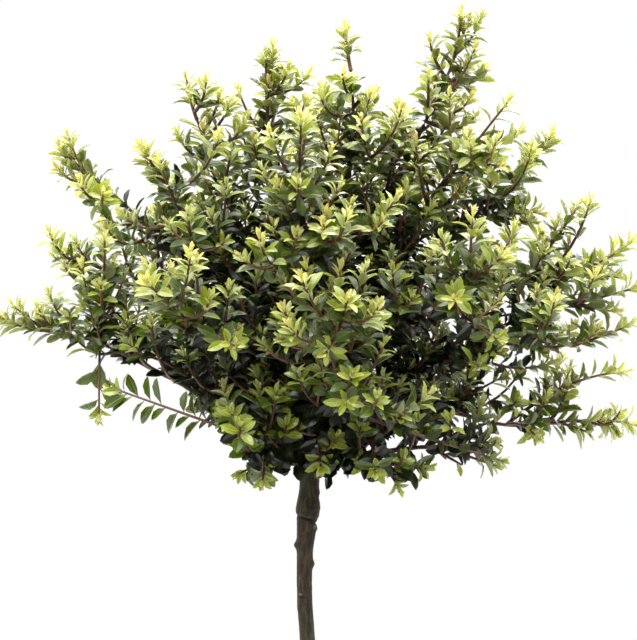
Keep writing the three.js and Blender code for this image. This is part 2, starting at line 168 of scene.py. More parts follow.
# How far limbs settle under their leaves, past the bough: down at their middle, and how their tip moves
SETTLING = {
    "tall_leader": (0, (10, 0, 2)),
    "left_drooping": (-12, (45, 0, 28)),
    "left_long": (-5, (-6, 0, -14)),
    "front_right_low": (0, (-20, 20, -25)),
    "right_low": (18, (14, 0, -28)),
    "right_long": (-6, (7, 0, 14)),
    "right_upper": (10, (12, -30, -56)),
}
TIP_UPTURN = 60
UPTURN_SPAN = (0.72, 1.25)  # where the upturn starts and would be full, as shares of the limb's length
WANDER = 3  # how far a limb wanders from its path, on a length of WANDER_SPAN
WANDER_SPAN = 400
SLOW_WAVES = (9, 8)
QUICK_WAVES = (23, 21)
QUICK_SHARE = 0.5  # how far the quick waves reach, next to the slow ones
LIMB_STEPS = 72
LIMB_SIDES = 12
# The swelling where a limb leaves the trunk: how far it stands out, its middle and its half length
ROOT_SWELLING = (2.2, 10, 9)
NODE_SWELLING = 0.07  # of the radius, at the old nodes
NODE_LENGTH = 2.6
LIMB_GRAIN = 0.16  # of the radius
GRAIN_ROUND = 3
GRAIN_ALONG = 0.8
GRAIN_APART = 7  # from one limb's grain to the next
LIMB_TAPER = 0.85  # below 1, a limb thins most near its root

# Side shoots that stand out from the head, limb by limb, by their tips. A fourth value is how strongly a
# shoot turns up, where it isn't the usual one.
STANDING_SHOOTS = {
    "tall_leader": [
        (192, 25, 1392),
        (170, 20, 1397),
        (135, 10, 1366),
        (184, 10, 1282),
        (132, -20, 1325),
        (198, 60, 1338),
        (178, 0, 1302),
    ],
    "middle_top": [
        (42, -10, 1376),
        (75, 40, 1310),
        (15, -60, 1300),
        (100, -90, 1285),
        (38, -60, 1325),
    ],
    "left_top": [
        (-38, 45, 1362),
        (-46, 40, 1350),
        (0, 50, 1332),
        (-22, 20, 1336),
        (-2, 20, 1300),
        (-58, -20, 1256),
    ],
    "left_high": [
        (-131, -10, 1322),
        (-140, -20, 1262),
        (-95, -20, 1304),
        (-112, -30, 1268),
        (-108, -40, 1318),
        (-66, -20, 1278),
        (-84, -10, 1296),
        (-82, -50, 1243),
    ],
    "left_crest": [(-90, -140, 1255), (-120, -170, 1175), (-195, -90, 1175), (-166, -100, 1238)],
    "left_outer": [
        (-273, 10, 1250),
        (-262, 10, 1260),
        (-273, 0, 1226),
        (-245, -40, 1210),
        (-226, 0, 1178),
        (-215, -40, 1160),
    ],
    "left_shoulder": [(-285, 20, 1155), (-268, 20, 1117)],
    "left_long": [
        (-196, -40, 1082),
        (-334, -10, 1062, 0.2),
        (-320, -10, 1075, 0.2),
        (-292, -20, 1072),
        (-215, -70, 1148),
        (-240, -60, 1120),
        (-195, -60, 1062),
        (-165, -80, 1060),
        (-228, -40, 1060),
    ],
    "right_high": [(226, -70, 1262), (200, -120, 1225)],
    "right_shoulder": [
        (272, 40, 1266),
        (245, -20, 1166),
        (240, -60, 1245),
        (234, -20, 1176),
        (256, 0, 1176),
    ],
    "right_upper": [(275, 0, 1168), (311, 0, 1190), (285, -40, 1130)],
    "right_long": [
        (318, -50, 1118),
        (255, -150, 1085),
        (250, -60, 1028),
        (334, -40, 1070),
        (205, -70, 1028),
        (183, -90, 1014),
        (297, -30, 1100),
    ],
    "right_low": [
        (282, -40, 990),
        (226, -50, 974, 0),
        (210, -50, 1000, 0),
        (336, -20, 938, -0.3),
        (306, -30, 938, -0.3),
        (246, -60, 938, -0.4),
        (232, -40, 1008),
    ],
    "low_right": [(95, -140, 893), (70, -190, 915)],
    "front_right_low": [(163, -110, 912, 0), (200, -80, 908, 0)],
    "front_left_low": [(-70, -100, 902), (-45, -150, 900), (-65, -230, 965)],
    "front_low": [(40, -290, 990), (120, -280, 1000), (15, -130, 912)],
    "front_middle": [(70, -290, 1085), (20, -290, 1040), (-15, -290, 1065)],
    "front_left": [(-70, -250, 1045), (-95, -230, 1090), (-160, -180, 1100)],
    "front_right": [
        (135, -230, 1150),
        (175, -210, 1125),
        (190, -240, 1050),
        (145, -260, 1090),
        (212, -160, 1160),
    ],
    "front_high": [
        (40, -245, 1172, 3),
        (-7, -235, 1205, 3),
        (-45, -230, 1150, 3),
        (90, -200, 1190),
    ],
}
# Long shoots with a course of their own: limb, where they leave it, bend, tip and radius
LONG_SHOOTS = [
    ("left_long", 0.7, (-226, -30, 1020), (-226, -30, 956), 1.6),
    ("front_left_low", 0.5, (-118, -90, 960), (-208, -70, 990), 2.0),
    ("low_right", 0.3, (67, -80, 908), (126, -110, 908), 2.0),
    ("front_low", 0.5, (110, -140, 948), (201, -130, 919), 2.8),
    ("right_long", 0.56, (262, -45, 1015), (346, -60, 1057), 2.4),
    ("right_low", 0.62, (285, -30, 1003), (345, -30, 1004), 2.4),
    ("right_long", 0.5, (205, -60, 1000), (262, -70, 1016), 2.2),
    ("right_upper", 0.7, (270, 0, 1140), (297, 0, 1184), 2.2),
    ("right_upper", 0.72, (302, -30, 1106), (352, -30, 1146), 2.2),
]
FLAT_SHOOTS = 2  # the first of them hang in the shade, with larger leaves in two flat and open rows
FLAT_SPACING = 1.3
FLAT_SIZE = 1.14
FLAT_SIZES = (0.86, 1.1)
FLAT_LEAN_SPREAD = 12
FLAT_TURN_SPREAD = 28
TWIGLESS_SHOOTS = 4  # the first of them bear no twigs
# Where the sky shows between the limbs, as seen from the front: place across, height and radius. They were
# found by laying the outline of a render over that of the photograph.
OPENINGS = [
    # On the left
    (-297, 1141, 9), (-296, 1106, 10), (-288, 1138, 9), (-270, 1098, 11), (-263, 1032, 7),
    (-261, 1078, 8), (-249, 1188, 9), (-240, 1158, 9), (-199, 1219, 22), (-149, 1244, 14),
    (-146, 1226, 9), (-139, 1226, 8),
    # On top
    (-136, 1288, 12), (-60, 1303, 11), (-50, 1332, 8), (23, 1323, 9), (26, 1333, 12),
    (46, 1340, 9), (52, 1338, 12), (83, 1301, 9), (100, 1316, 13), (110, 1302, 8),
    (124, 1350, 9), (150, 1387, 8), (186, 1269, 8), (196, 1274, 9), (205, 1278, 8),
    (205, 1300, 8),
    # On the right
    (226, 1230, 10), (241, 1199, 9), (255, 1220, 10), (295, 1137, 9), (300, 1142, 12),
    (317, 1150, 14), (324, 1139, 10), (329, 1175, 15),
    # Under the head, from left to right
    (-246, 979, 13), (-224, 1011, 10), (-212, 1020, 7), (-195, 1007, 9), (-176, 1008, 13),
    (-168, 1012, 11), (-160, 990, 9), (-142, 980, 11), (-105, 936, 9), (-76, 903, 10),
    (-18, 888, 8), (39, 886, 8), (64, 886, 9), (67, 918, 9), (87, 871, 10),
    (94, 926, 11), (97, 919, 9), (127, 919, 9), (128, 914, 10), (156, 905, 10),
    (160, 903, 9), (168, 950, 9), (180, 900, 10), (198, 990, 9), (207, 978, 11),
    (218, 947, 9), (222, 937, 13), (227, 983, 8), (303, 980, 10), (310, 968, 9),
    (315, 984, 13), (320, 1023, 9), (321, 934, 8), (336, 972, 10), (354, 966, 9),
]
STANDING_REACH = (45, 135)
STANDING_FROM = (20, 98)  # hundredths of a limb's length between which such a shoot may start
STANDING_START = 0.6  # where it starts if no place suits
STANDING_RADIUS = 2.4
STANDING_LIFT = 0.9
STANDING_BEND = 0.55

# The other side shoots of a limb, and the twigs of a side shoot: the shares of the parent's length between
# which they grow, their spacing, length at the parent's foot, shortening towards its tip, angle, upturn and
# radius. It is the part's rule, carried to finer twigs.
SIDE_SHOOTS = {
    "start": 0.16, "end": 0.96, "step": 17, "length": 128, "shortening": 0.5,
    "angle": 50, "lift": 1.6, "radius": 2.3,
}
TWIGS = {
    "start": 0.2, "end": 0.85, "step": 19, "length": 62, "shortening": 0.4,
    "angle": 46, "lift": 1.2, "radius": 1.7,
}
BEND_SHARE = 0.4
SHOOT_TIP_RADIUS = 1.05
GOLDEN_TURN = 137.5  # from one shoot or leaf to the next, round their parent
SHOOT_TURN_SPREAD = 15
SHOOT_LEAN_SPREAD = 10
SHOOT_SIZES = (0.75, 1.15)
PLACE_SPREAD = (0.2, 0.8)  # where a shoot grows in its own step along the parent
SHORTER_TRIES = (1, 0.8, 0.62)  # of its length, until a shoot finds room
LEAST_SHOOT = 22
LEAST_BETWEEN_TIPS = 27
TIP_LEAD = 8  # how far a parent's tip stays ahead of its side shoots
ROOM_TESTS = (0.4, 0.7, 1)
# The crown's middle, and how far it reaches to the sides and in depth, upwards and downwards
CROWN_MIDDLE = Vector((15, 0, 1075))
CROWN_REACH = (345, 300)
CROWN_RISE = 250
CROWN_DROP = 172
TWIG_STEPS = 8
LONG_STEPS = 14
TWIG_SIDES = 6
LIMB_SEED = 20
SHOOT_SEED = 42

# Leaves
LEAF_LENGTH = 26
LEAF_WIDTH = 10.6
SHADE_BREADTH = 1.22  # how much broader the leaves are low in the head
LEAF_RISE = 0.25  # leaves turn up to the light,
LESS_BELOW = 0.45  # and few hang below a level shoot,
HANGING_LEAVES = (945, 1010)  # except low in the head
LOW_LEAVES_FACE_OUT = 0.9  # and there they face outwards
LEAF_TWIST = 0.42
# The grown leaves of a shoot, from its tuft back to LEAFY_LENGTH or LEAFY_SHARE of its length
LEAFY_LENGTH = 130
LEAFY_SHARE = 0.93
LEAF_SPACING = 4.5
SPACING_SPREAD = (0.8, 1.25)
LEAF_SIZES = (0.84, 1.12)
LEAF_ANGLES = (46, 66)
LEAF_ANGLE_SPREAD = 9
LEAF_TURN_SPREAD = 10
LEAF_LIGHT = 0.3  # how far a leaf's upper side turns to the light
AGE_LENGTH = 18  # along the shoot, in which a leaf's age grows by one tuft's
# The inner leaves of a limb, which fill the head's inside, back to INNER_FROM of its length
INNER_FROM = 0.1
INNER_SPACING = 2.8
INNER_SPREAD = (0.6, 1.4)
INNER_SIZES = (0.9, 1.2)
INNER_ANGLES = (40, 85)
INNER_TURN_SPREAD = 20
# The tuft of young leaves at a tip
TUFT_LEAVES = 10
TUFT_STEP = 1.7
TUFT_GAP = 2  # between the tuft and the first grown leaf
TUFT_SIZES = (0.46, 0.88)
TUFT_SIZE_SPREAD = (0.88, 1.12)
TUFT_ANGLES = (8, 50)
TUFT_OPENING = 0.8  # below 1, most leaves of the tuft spread
TUFT_ANGLE_SPREAD = 7
TUFT_SLENDERNESS = 0.84
TUFT_LIGHT = 0.15
STRAIGHT_LEAVES = 3  # the innermost of the tuft don't bend back
VIGOUR = (1.1, 1.0, 0.86)  # size of a shoot's tuft, on limbs, side shoots and twigs
# How bright the new growth is, by how far out in the crown a tip is, how high, how far aside and how near
# the rim. It also carries painted light and shade: tips low in the head and inside get darker leaves, as
# painted shade, and tips near the rim get paler ones, as painted light from the backdrop's glow.
OUT_SPAN = (0.4, 0.85)
HIGH_SPAN = (930, 1140)
ASIDE_SPAN = (180, 320)
PAINTED_GLOW_SPAN = (0.75, 1.05)
LEAST_BRIGHT = 0.2
BRIGHTER_UP = 0.75
# painted light: how much paler the leaves are near the rim, for the backdrop's glow
PAINTED_RIM_GLOW = 0.12
BRIGHT_SPREAD = (0.6, 1.2)
# The age, in tufts, up to which leaves are golden, lime, fresh and green: a start, and what brightness adds
AGE_SPREAD = 0.22
GOLDEN_BRIGHTNESS = 0.78  # the least with golden leaves
GOLDEN_AGE = 0.42
LIME_AGE = 0.86
FRESH_AGE = (0.4, 2.5)
GREEN_AGE = (1.4, 4.4)
LEAVES_A_PIECE = 4500  # at most
# A leaf's outline, one unit long and one unit wide: share of the length and half the width there
LEAF_OUTLINE = [(0.12, 0.07), (0.38, 0.41), (0.68, 0.49), (0.9, 0.27)]
# How far each form bends back, and how strongly it folds
LEAF_FORMS = [(0.12, 0.5), (0.42, 0.42), (0.78, 0.36), (1.15, 0.32)]
FOLD_LIFT = 0.42
MIDRIB = 0.035  # half its width,
MIDRIB_SHARE = 0.8  # but no more than this share of half the leaf's width there
MIDRIB_DEPTH = 0.004
LEAF_THICKNESS = 0.013
# The strips of a leaf, between the five points of its rows, and the side that each strip is on
UPPER, RIB, UNDER = range(3)
ROW_POINTS = 5
STRIPS = [(0, 1, UPPER), (1, 2, RIB), (2, 3, UPPER), (4, 0, UNDER), (3, 4, UNDER)]

# Camera and studio, in metres
CAMERA_TARGET = Vector((0.01265, 0, 1.0595))
CAMERA_DISTANCE = 2.3
CAMERA_ELEVATION = 2.5
FIELD_WIDTH = 0.7007
FLOOR_RADIUS = 3.2
FLOOR_SIDES = 96
TRUNK_MIDDLE = (0, 0, 0.7)
SKY_ABOVE = 4.4
SKY_BELOW = 0.05
BACKDROP_GLOW = 3.6
GLOW_FROM = 0.15
# Lamps: name, width, watts, place and what they point at
LAMPS = [
    ("key", 1.2, 94, (-0.6, -1.8, 3.5), CAMERA_TARGET),
    ("rim", 1.6, 124, (0.5, 1.8, 3.2), CAMERA_TARGET),
    ("low_fill", 0.5, 6, (-1.9, -0.8, 0.6), TRUNK_MIDDLE),
]


# Growth


def heading(turn, rise):
    a, e = math.radians(turn), math.radians(rise)
    return Vector((math.cos(a) * math.cos(e), math.sin(a) * math.cos(e), math.sin(e)))


def smooth(x, low, high):
    """0 below low, 1 above high, and smooth between them."""
    t = min(max((x - low) / (high - low), 0), 1)
    return t * t * (3 - 2 * t)


def mix(a, b, share):
    return a + (b - a) * share


def trunk_axis(height):
    held = smooth(height, 0, SWAY_FULL)
    side = math.cos(2 * math.pi * (height - SWAY_MIDDLE) / SWAY_LENGTH)
    depth = math.sin(2 * math.pi * height / DEPTH_SWAY_LENGTH)
    return Vector((-SWAY * held * side, DEPTH_SWAY * held * depth, height))


def arc_path(start, bend, end, steps):
    """Points along a smooth arc that leaves towards bend and arrives from it."""
    points = []
    for i in range(steps + 1):
        t = i / steps
        points.append(start * (1 - t) ** 2 + bend * (2 * t * (1 - t)) + end * t**2)
    return points


def limb_path(tip, sprout, steps):
    """The part's path of a limb that leaves the trunk at the height sprout."""
    out = tip - FORK
    turn = math.degrees(math.atan2(out.y, out.x))
    rise = math.degrees(math.asin(out.z / out.length))
    start = trunk_axis(sprout)
    bend = start + heading(turn, START_RISE + START_SHARE * rise) * (out.length * ARCH)
    return arc_path(start, bend, tip, steps)


def rise_of(tip):
    out = tip - FORK
    return out.z / out.length


def bough_samples(tip, sprout):
    """Points along a bough outside the trunk, with its radius there."""
    path = np.array(limb_path(tip, sprout, round(SPROUT_SAMPLES / BOUGH_SHARE))[: SPROUT_SAMPLES + 1])
    radii = np.linspace(BOUGH_RADIUS, BOUGH_TIP_RADIUS, len(path))
    axis = np.array([trunk_axis(z) for z in path[:, 2]])
    outside = np.linalg.norm(path - axis, axis=1) > HIDDEN_ROOT
    return path[outside], radii[outside]


def touches(a, b):
    between = np.linalg.norm(a[0][:, None] - b[0][None], axis=2)
    room = ROOM_FOR_CORNERS * (a[1][:, None] + b[1][None]) + CLEARANCE
    return (between < room).any()


def sprouts():
    """Each limb's height on the trunk: as low as it can be without touching a flatter limb."""
    placed, heights = [], {}
    tips = {name: Vector(tip) for name, tip in LIMBS.items()}
    for name in sorted(tips, key=lambda name: rise_of(tips[name])):
        height = LOWEST_SPROUT
        samples = bough_samples(tips[name], height)
        while any(touches(samples, other) for other in placed):
            height += 1
            samples = bough_samples(tips[name], height)
        placed.append(samples)
        heights[name] = height
    return heights


def draws_for(shoot, purpose):
    """Random numbers of a shoot's own, so that a change in one shoot leaves the others as they are."""
    place = " ".join(str(round(value)) for value in shoot.points[-1])
    return random.Random(f"{SHOOT_SEED} {purpose} {place}")


class Shoot:
    """A stretch of wood along points, tapering from one radius to another."""

    def __init__(self, points, radius, tip_radius, order):
        self.points = points
        self.radius = radius
        self.tip_radius = tip_radius
        self.order = order
        self.flat = False
        steps = [(b - a).length for a, b in zip(points, points[1:])]
        self.reached = np.concatenate([[0], np.cumsum(steps)])
        self.length = float(self.reached[-1])

    def spot(self, share):
        """The point and direction at a share of the length."""
        at = min(max(share, 0), 1) * self.length
        i = int(np.searchsorted(self.reached, at, side="right")) - 1
        i = min(i, len(self.points) - 2)
        span = self.points[i + 1] - self.points[i]
        part = (at - self.reached[i]) / span.length
        return self.points[i] + span * part, span.normalized()


def around(along, turn):
    """A direction square to along, at a turn round it."""
    spare = UP if abs(along.z) < 0.9 else Vector((1, 0, 0))
    side = along.cross(spare).normalized()
    normal = side.cross(along)
    a = math.radians(turn)
    return side * math.cos(a) + normal * math.sin(a)


def side_shoot(parent, share, turn, angle, length, lift, radius):
    """A shoot that leaves its parent to one side and bends upwards."""
    start, along = parent.spot(share)
    lean = math.radians(angle)
    leaving = along * math.cos(lean) + around(along, turn) * math.sin(lean)
    ending = (leaving + UP * lift).normalized()
    bend = start + leaving * (length * BEND_SHARE)
    tip = bend + ending * (length * (1 - BEND_SHARE))
    path = arc_path(start, bend, tip, TWIG_STEPS)
    return Shoot(path, radius, SHOOT_TIP_RADIUS, parent.order + 1)


def wander(points, rng):
    """Bends a path gently to and fro between its ends, as slow growth does."""
    length = (points[-1] - points[0]).length
    phase = [rng.uniform(0, 2 * math.pi) for _ in range(4)]
    along = (points[-1] - points[0]).normalized()
    side, normal = around(along, 0), around(along, 90)
    moved = []
    for i, point in enumerate(points):
        t = i / (len(points) - 1)
        held = math.sin(math.pi * t) * WANDER * length / WANDER_SPAN
        a = math.sin(SLOW_WAVES[0] * t + phase[0]) + QUICK_SHARE * math.sin(QUICK_WAVES[0] * t + phase[1])
        b = math.sin(SLOW_WAVES[1] * t + phase[2]) + QUICK_SHARE * math.sin(QUICK_WAVES[1] * t + phase[3])
        moved.append(point + side * (a * held) + normal * (b * held))
    return moved


def turned_up(points):
    """Turns the tip of a limb up where it reaches towards the front or back, as light draws it."""
    out = points[-1] - points[0]
    lift = TIP_UPTURN * abs(out.y) / out.length
    last = len(points) - 1
    return [p + UP * (lift * smooth(i / last, *UPTURN_SPAN)) for i, p in enumerate(points)]


def settled(points, drop, shift):
    """Bends a limb past its bough under its own weight, and moves its tip."""
    moved = []
    for i, point in enumerate(points):
        share = max(0, (i / (len(points) - 1) - BOUGH_SHARE) / (1 - BOUGH_SHARE))
        middle = math.sin(math.pi * share) ** 2
        moved.append(point - UP * (drop * middle) + Vector(shift) * share**2)
    return moved


def grow_limbs(rng):
    """The limbs as they hang in leaf."""
    heights = sprouts()
    limbs = []
    for name, tip in LIMBS.items():
        points = turned_up(limb_path(Vector(tip), heights[name], LIMB_STEPS))
        points = settled(points, *SETTLING.get(name, (0, (0, 0, 0))))
        limbs.append(Shoot(wander(points, rng), BOUGH_RADIUS, LIMB_TIP_RADIUS, 0))
    return limbs


def crown_share(point):
    """How far out a point lies: 0 at the crown's middle and about 1 at its surface."""
    away = point - CROWN_MIDDLE
    height = CROWN_RISE if away.z > 0 else CROWN_DROP
    return math.sqrt(
        (away.x / CROWN_REACH[0]) ** 2 + (away.y / CROWN_REACH[1]) ** 2 + (away.z / height) ** 2
    )


def in_opening(point):
    """Whether a point shows in one of the openings, from the front."""
    e = math.radians(CAMERA_ELEVATION)
    away = point - CAMERA_TARGET / MM
    nearer = CAMERA_DISTANCE / (CAMERA_DISTANCE + away.y * MM)
    x = CAMERA_TARGET.x / MM + away.x * nearer
    z = CAMERA_TARGET.z / MM + (away.z * math.cos(e) + away.y * math.sin(e)) * nearer
    return any(math.hypot(x - at_x, z - at_z) < radius for at_x, at_z, radius in OPENINGS)


def fits(shoot, parent, tips):
    """A side shoot stays in the head, behind its parent's tip and clear of the other tips."""
    tip = shoot.points[-1]
    lead, along = parent.spot(1)
    if crown_share(tip) > max(1, crown_share(lead)) or (tip - lead).dot(along) > -TIP_LEAD:
        return False
    if any(in_opening(shoot.spot(share)[0]) for share in ROOM_TESTS):
        return False
    return all((tip - other).length > LEAST_BETWEEN_TIPS for other in tips)


def standing_shoot(limb, place):
    """A shoot to a chosen tip, from the place on its limb that it reaches with the least turn."""
    tip = Vector(place[:3])
    best = None
    for i in range(*STANDING_FROM):
        start, along = limb.spot(i / 100)
        way = tip - start
        if not STANDING_REACH[0] < way.length < STANDING_REACH[1]:
            continue
        cost = way.length * (2 - way.normalized().dot(along))
        if best is None or cost < best[0]:
            best = (cost, start, way)
    if best is None:
        start, _ = limb.spot(STANDING_START)
        best = (0, start, tip - start)
    _, start, way = best
    lift = STANDING_LIFT * (1 + abs(way.y) / way.length) if way.z > 0 else 0
    if len(place) > 3:
        lift = place[3]
    ending = (way.normalized() + UP * lift).normalized()
    bend = tip - ending * (way.length * STANDING_BEND)
    return Shoot(arc_path(start, bend, tip, TWIG_STEPS), STANDING_RADIUS, SHOOT_TIP_RADIUS, 1)


def long_shoots(limbs):
    """The shoots with a course of their own, the first of them flat."""
    grown = []
    for name, share, bend, tip, radius in LONG_SHOOTS:
        path = arc_path(limbs[name].spot(share)[0], Vector(bend), Vector(tip), LONG_STEPS)
        grown.append(Shoot(path, radius, SHOOT_TIP_RADIUS, 1))
    for shoot in grown[:FLAT_SHOOTS]:
        shoot.flat = True
    return grown


def grow_along(parent, rule, tips):
    """Side shoots in a spiral along a parent, where they find room."""
    grown = []
    rng = draws_for(parent, "shoots")
    span = rule["end"] - rule["start"]
    count = int(parent.length * span / rule["step"])
    turn = rng.uniform(0, 360)
    for k in range(count):
        share = rule["start"] + span * (k + rng.uniform(*PLACE_SPREAD)) / count
        turn += GOLDEN_TURN + rng.uniform(-SHOOT_TURN_SPREAD, SHOOT_TURN_SPREAD)
        length = rule["length"] * (1 - rule["shortening"] * share) * rng.uniform(*SHOOT_SIZES)
        if length < LEAST_SHOOT:
            continue
        lean = rule["angle"] + rng.uniform(-SHOOT_LEAN_SPREAD, SHOOT_LEAN_SPREAD)
        for shorter in SHORTER_TRIES:
            shoot = side_shoot(parent, share, turn, lean, length * shorter, rule["lift"], rule["radius"])
            if fits(shoot, parent, tips):
                tips.append(shoot.points[-1])
                grown.append(shoot)
                break
    return grown


def grow_shoots(limbs):
    """The side shoots of all limbs, and their twigs."""
    shoots, twigs = long_shoots(dict(zip(LIMBS, limbs))), []
    for name, limb in zip(LIMBS, limbs):
        shoots += [standing_shoot(limb, place) for place in STANDING_SHOOTS.get(name, [])]
    tips = [shoot.points[-1] for shoot in limbs + shoots]
    for limb in limbs:
        shoots += grow_along(limb, SIDE_SHOOTS, tips)
    for shoot in shoots[TWIGLESS_SHOOTS:]:
        twigs += grow_along(shoot, TWIGS, tips)
    return shoots, twigs


# Leaves


class Leaf:
    """A leaf by its place and turn, its size, its form and its colour class."""

    def __init__(self, base, blade, face, length, width, form, kind):
        self.base = base
        self.middle = base + blade.normalized() * (length / 2)
        self.length = length
        self.width = width
        self.form = form
        self.kind = kind
        across = blade.cross(face).normalized()
        upper = across.cross(blade).normalized()
        self.facing = Matrix((across, blade.normalized(), upper)).transposed().to_euler()


def leaf_on(shoot, back, turn, angle, size, form, kind, rng, light=LEAF_LIGHT, slender=1):
    """A leaf at a distance back from its shoot's tip."""
    base, along = shoot.spot(1 - back / shoot.length)
    lean = math.radians(angle)
    outwards = around(along, turn)
    held_up = 0 if shoot.flat else smooth(base.z, *HANGING_LEAVES)
    if outwards.z < 0:
        outwards.z *= mix(1, LESS_BELOW, held_up)
        outwards.normalize()
    rise = LEAF_RISE * (1 - along.z**2) * held_up
    blade = along * math.cos(lean) + outwards * math.sin(lean) + UP * rise
    away = FRONT if shoot.flat else Vector((base.x, base.y, 0)).normalized()
    face = along * math.sin(lean) - outwards * math.cos(lean)
    face = face + UP * (light * held_up) + away * (LOW_LEAVES_FACE_OUT * (1 - held_up))
    face = face + Vector([rng.uniform(-LEAF_TWIST, LEAF_TWIST) for _ in range(3)])
    width = LEAF_WIDTH * size * slender * mix(SHADE_BREADTH, 1, held_up)
    return Leaf(base, blade, face, LEAF_LENGTH * size, width, form, kind)


def brightness_of(shoot):
    """How much new growth a shoot shows, with painted shade low and inside and painted light at the rim."""
    tip = shoot.points[-1]
    out = smooth(crown_share(tip), *OUT_SPAN)
    high = smooth(tip.z, *HIGH_SPAN)
    aside = smooth(abs(tip.x - CROWN_MIDDLE.x), *ASIDE_SPAN)
    # painted light and shade: tips near the rim get paler leaves, and low tips get darker ones
    rim = smooth(crown_share(tip), *PAINTED_GLOW_SPAN)
    return out * (LEAST_BRIGHT + BRIGHTER_UP * max(high, aside)) + PAINTED_RIM_GLOW * rim * (high + aside)


def kind_by_age(age, bright, rng):
    """A leaf's colour class, by age and by brightness with its painted light: age is 0 at the tip, 1 where the
    tuft ends.
    """
    age = age + rng.uniform(-AGE_SPREAD, AGE_SPREAD)
    if age < GOLDEN_AGE * bright and bright > GOLDEN_BRIGHTNESS:
        return "golden"
    if age < LIME_AGE * bright:
        return "lime"
    if age < FRESH_AGE[0] + FRESH_AGE[1] * bright:
        return "fresh"
    if age < GREEN_AGE[0] + GREEN_AGE[1] * bright:
        return "green"
    return "dark"


def tuft_leaves(shoot, bright, turn, rng):
    """The narrow young leaves at the tip: the innermost upright, the outer ones spreading."""
    leaves = []
    for k in range(TUFT_LEAVES):
        age = k / (TUFT_LEAVES - 1)
        size = mix(*TUFT_SIZES, age) * rng.uniform(*TUFT_SIZE_SPREAD) * VIGOUR[shoot.order]
        angle = mix(*TUFT_ANGLES, age**TUFT_OPENING) + rng.uniform(-TUFT_ANGLE_SPREAD, TUFT_ANGLE_SPREAD)
        kind = kind_by_age(age, bright, rng)
        form = rng.randrange(1, len(LEAF_FORMS)) if k >= STRAIGHT_LEAVES else 0
        back = k * TUFT_STEP
        leaves.append(
            leaf_on(shoot, back, turn, angle, size, form, kind, rng, TUFT_LIGHT, TUFT_SLENDERNESS)
        )
        turn += GOLDEN_TURN
    return leaves


def leaves_of(shoot):
    """All leaves of a shoot: its tuft, and its grown leaves in a spiral, or in two rows on a flat shoot."""
    rng = draws_for(shoot, "leaves")
    bright = brightness_of(shoot) * rng.uniform(*BRIGHT_SPREAD)
    turn = rng.uniform(0, 360)
    leaves = tuft_leaves(shoot, bright, turn, rng)
    back = TUFT_LEAVES * TUFT_STEP + TUFT_GAP
    turn += TUFT_LEAVES * GOLDEN_TURN
    low = shoot.points[-1].z < HANGING_LEAVES[1]
    forms = 2 if low else len(LEAF_FORMS)
    while back < min(shoot.length * LEAFY_SHARE, LEAFY_LENGTH):
        size = rng.uniform(*LEAF_SIZES)
        kind = kind_by_age(1 + back / AGE_LENGTH, bright, rng)
        angle = mix(*LEAF_ANGLES, back / LEAFY_LENGTH)
        angle += rng.uniform(-LEAF_ANGLE_SPREAD, LEAF_ANGLE_SPREAD)
        if shoot.flat:
            size *= FLAT_SIZE * rng.uniform(*FLAT_SIZES)
            angle += rng.uniform(-FLAT_LEAN_SPREAD, FLAT_LEAN_SPREAD)
            kind = "green" if kind == "dark" else kind
        leaves.append(leaf_on(shoot, back, turn, angle, size, rng.randrange(forms), kind, rng))
        turn += GOLDEN_TURN + rng.uniform(-LEAF_TURN_SPREAD, LEAF_TURN_SPREAD)
        step = LEAF_SPACING * rng.uniform(*SPACING_SPREAD)
        if shoot.flat:
            row = 90 + 180 * (len(leaves) % 2)
            turn = row + rng.uniform(-FLAT_TURN_SPREAD, FLAT_TURN_SPREAD)
            step *= FLAT_SPACING
        back += step
    return leaves


def inner_leaves_of(limb):
    """The older leaves that fill the head's inside along a limb, in the dark kind, whose near-black colour is
    partly painted shade.
    """
    rng = draws_for(limb, "inner leaves")
    leaves = []
    turn = rng.uniform(0, 360)
    back = LEAFY_LENGTH
    while back < limb.length * (1 - INNER_FROM):
        size = rng.uniform(*INNER_SIZES)
        angle = rng.uniform(*INNER_ANGLES)
        form = 1 + rng.randrange(len(LEAF_FORMS) - 1)
        # painted shade: all inner leaves take the near-black dark kind
        leaves.append(leaf_on(limb, back, turn, angle, size, form, "dark", rng))
        turn += GOLDEN_TURN + rng.uniform(-INNER_TURN_SPREAD, INNER_TURN_SPREAD)
        back += INNER_SPACING * rng.uniform(*INNER_SPREAD)
    return leaves


def grow_leaves(limbs, shoots):
    """The leaves of limbs and shoots, apart from those that would show in an opening."""
    leaves = [leaf for shoot in limbs + shoots for leaf in leaves_of(shoot)]
    leaves += [leaf for limb in limbs for leaf in inner_leaves_of(limb)]
    return [leaf for leaf in leaves if not in_opening(leaf.middle)]


# Meshes


def new_object(name, mesh):
    made = bpy.data.objects.new(name, mesh)
    bpy.context.scene.collection.objects.link(made)
    return made


def mesh_of(name, vertices, faces, edges=()):
    mesh = bpy.data.meshes.new(name)
    mesh.from_pydata([tuple(v) for v in vertices], list(edges), faces)
    mesh.update()
    return mesh


def mark(mesh, name, kind, domain, values):
    """Gives a mesh a named value at each of its points, edges or faces."""
    field = "vector" if kind == "FLOAT_VECTOR" else "value"
    mesh.attributes.new(name, kind, domain).data.foreach_set(field, values)


def tube_faces(rings, sides):
    """Quads between rings of vertices, with a fan of one face at each end."""
    faces = []
    for i in range(rings - 1):
        for j in range(sides):
            k = (j + 1) % sides
            faces.append((i * sides + j, i * sides + k, (i + 1) * sides + k, (i + 1) * sides + j))
    faces.append(tuple(reversed(range(sides))))
    faces.append(tuple((rings - 1) * sides + j for j in range(sides)))
    return faces


def turn_between(turn, middle):
    """The shorter way round from one turn to another."""
    return (turn - middle + 180) % 360 - 180


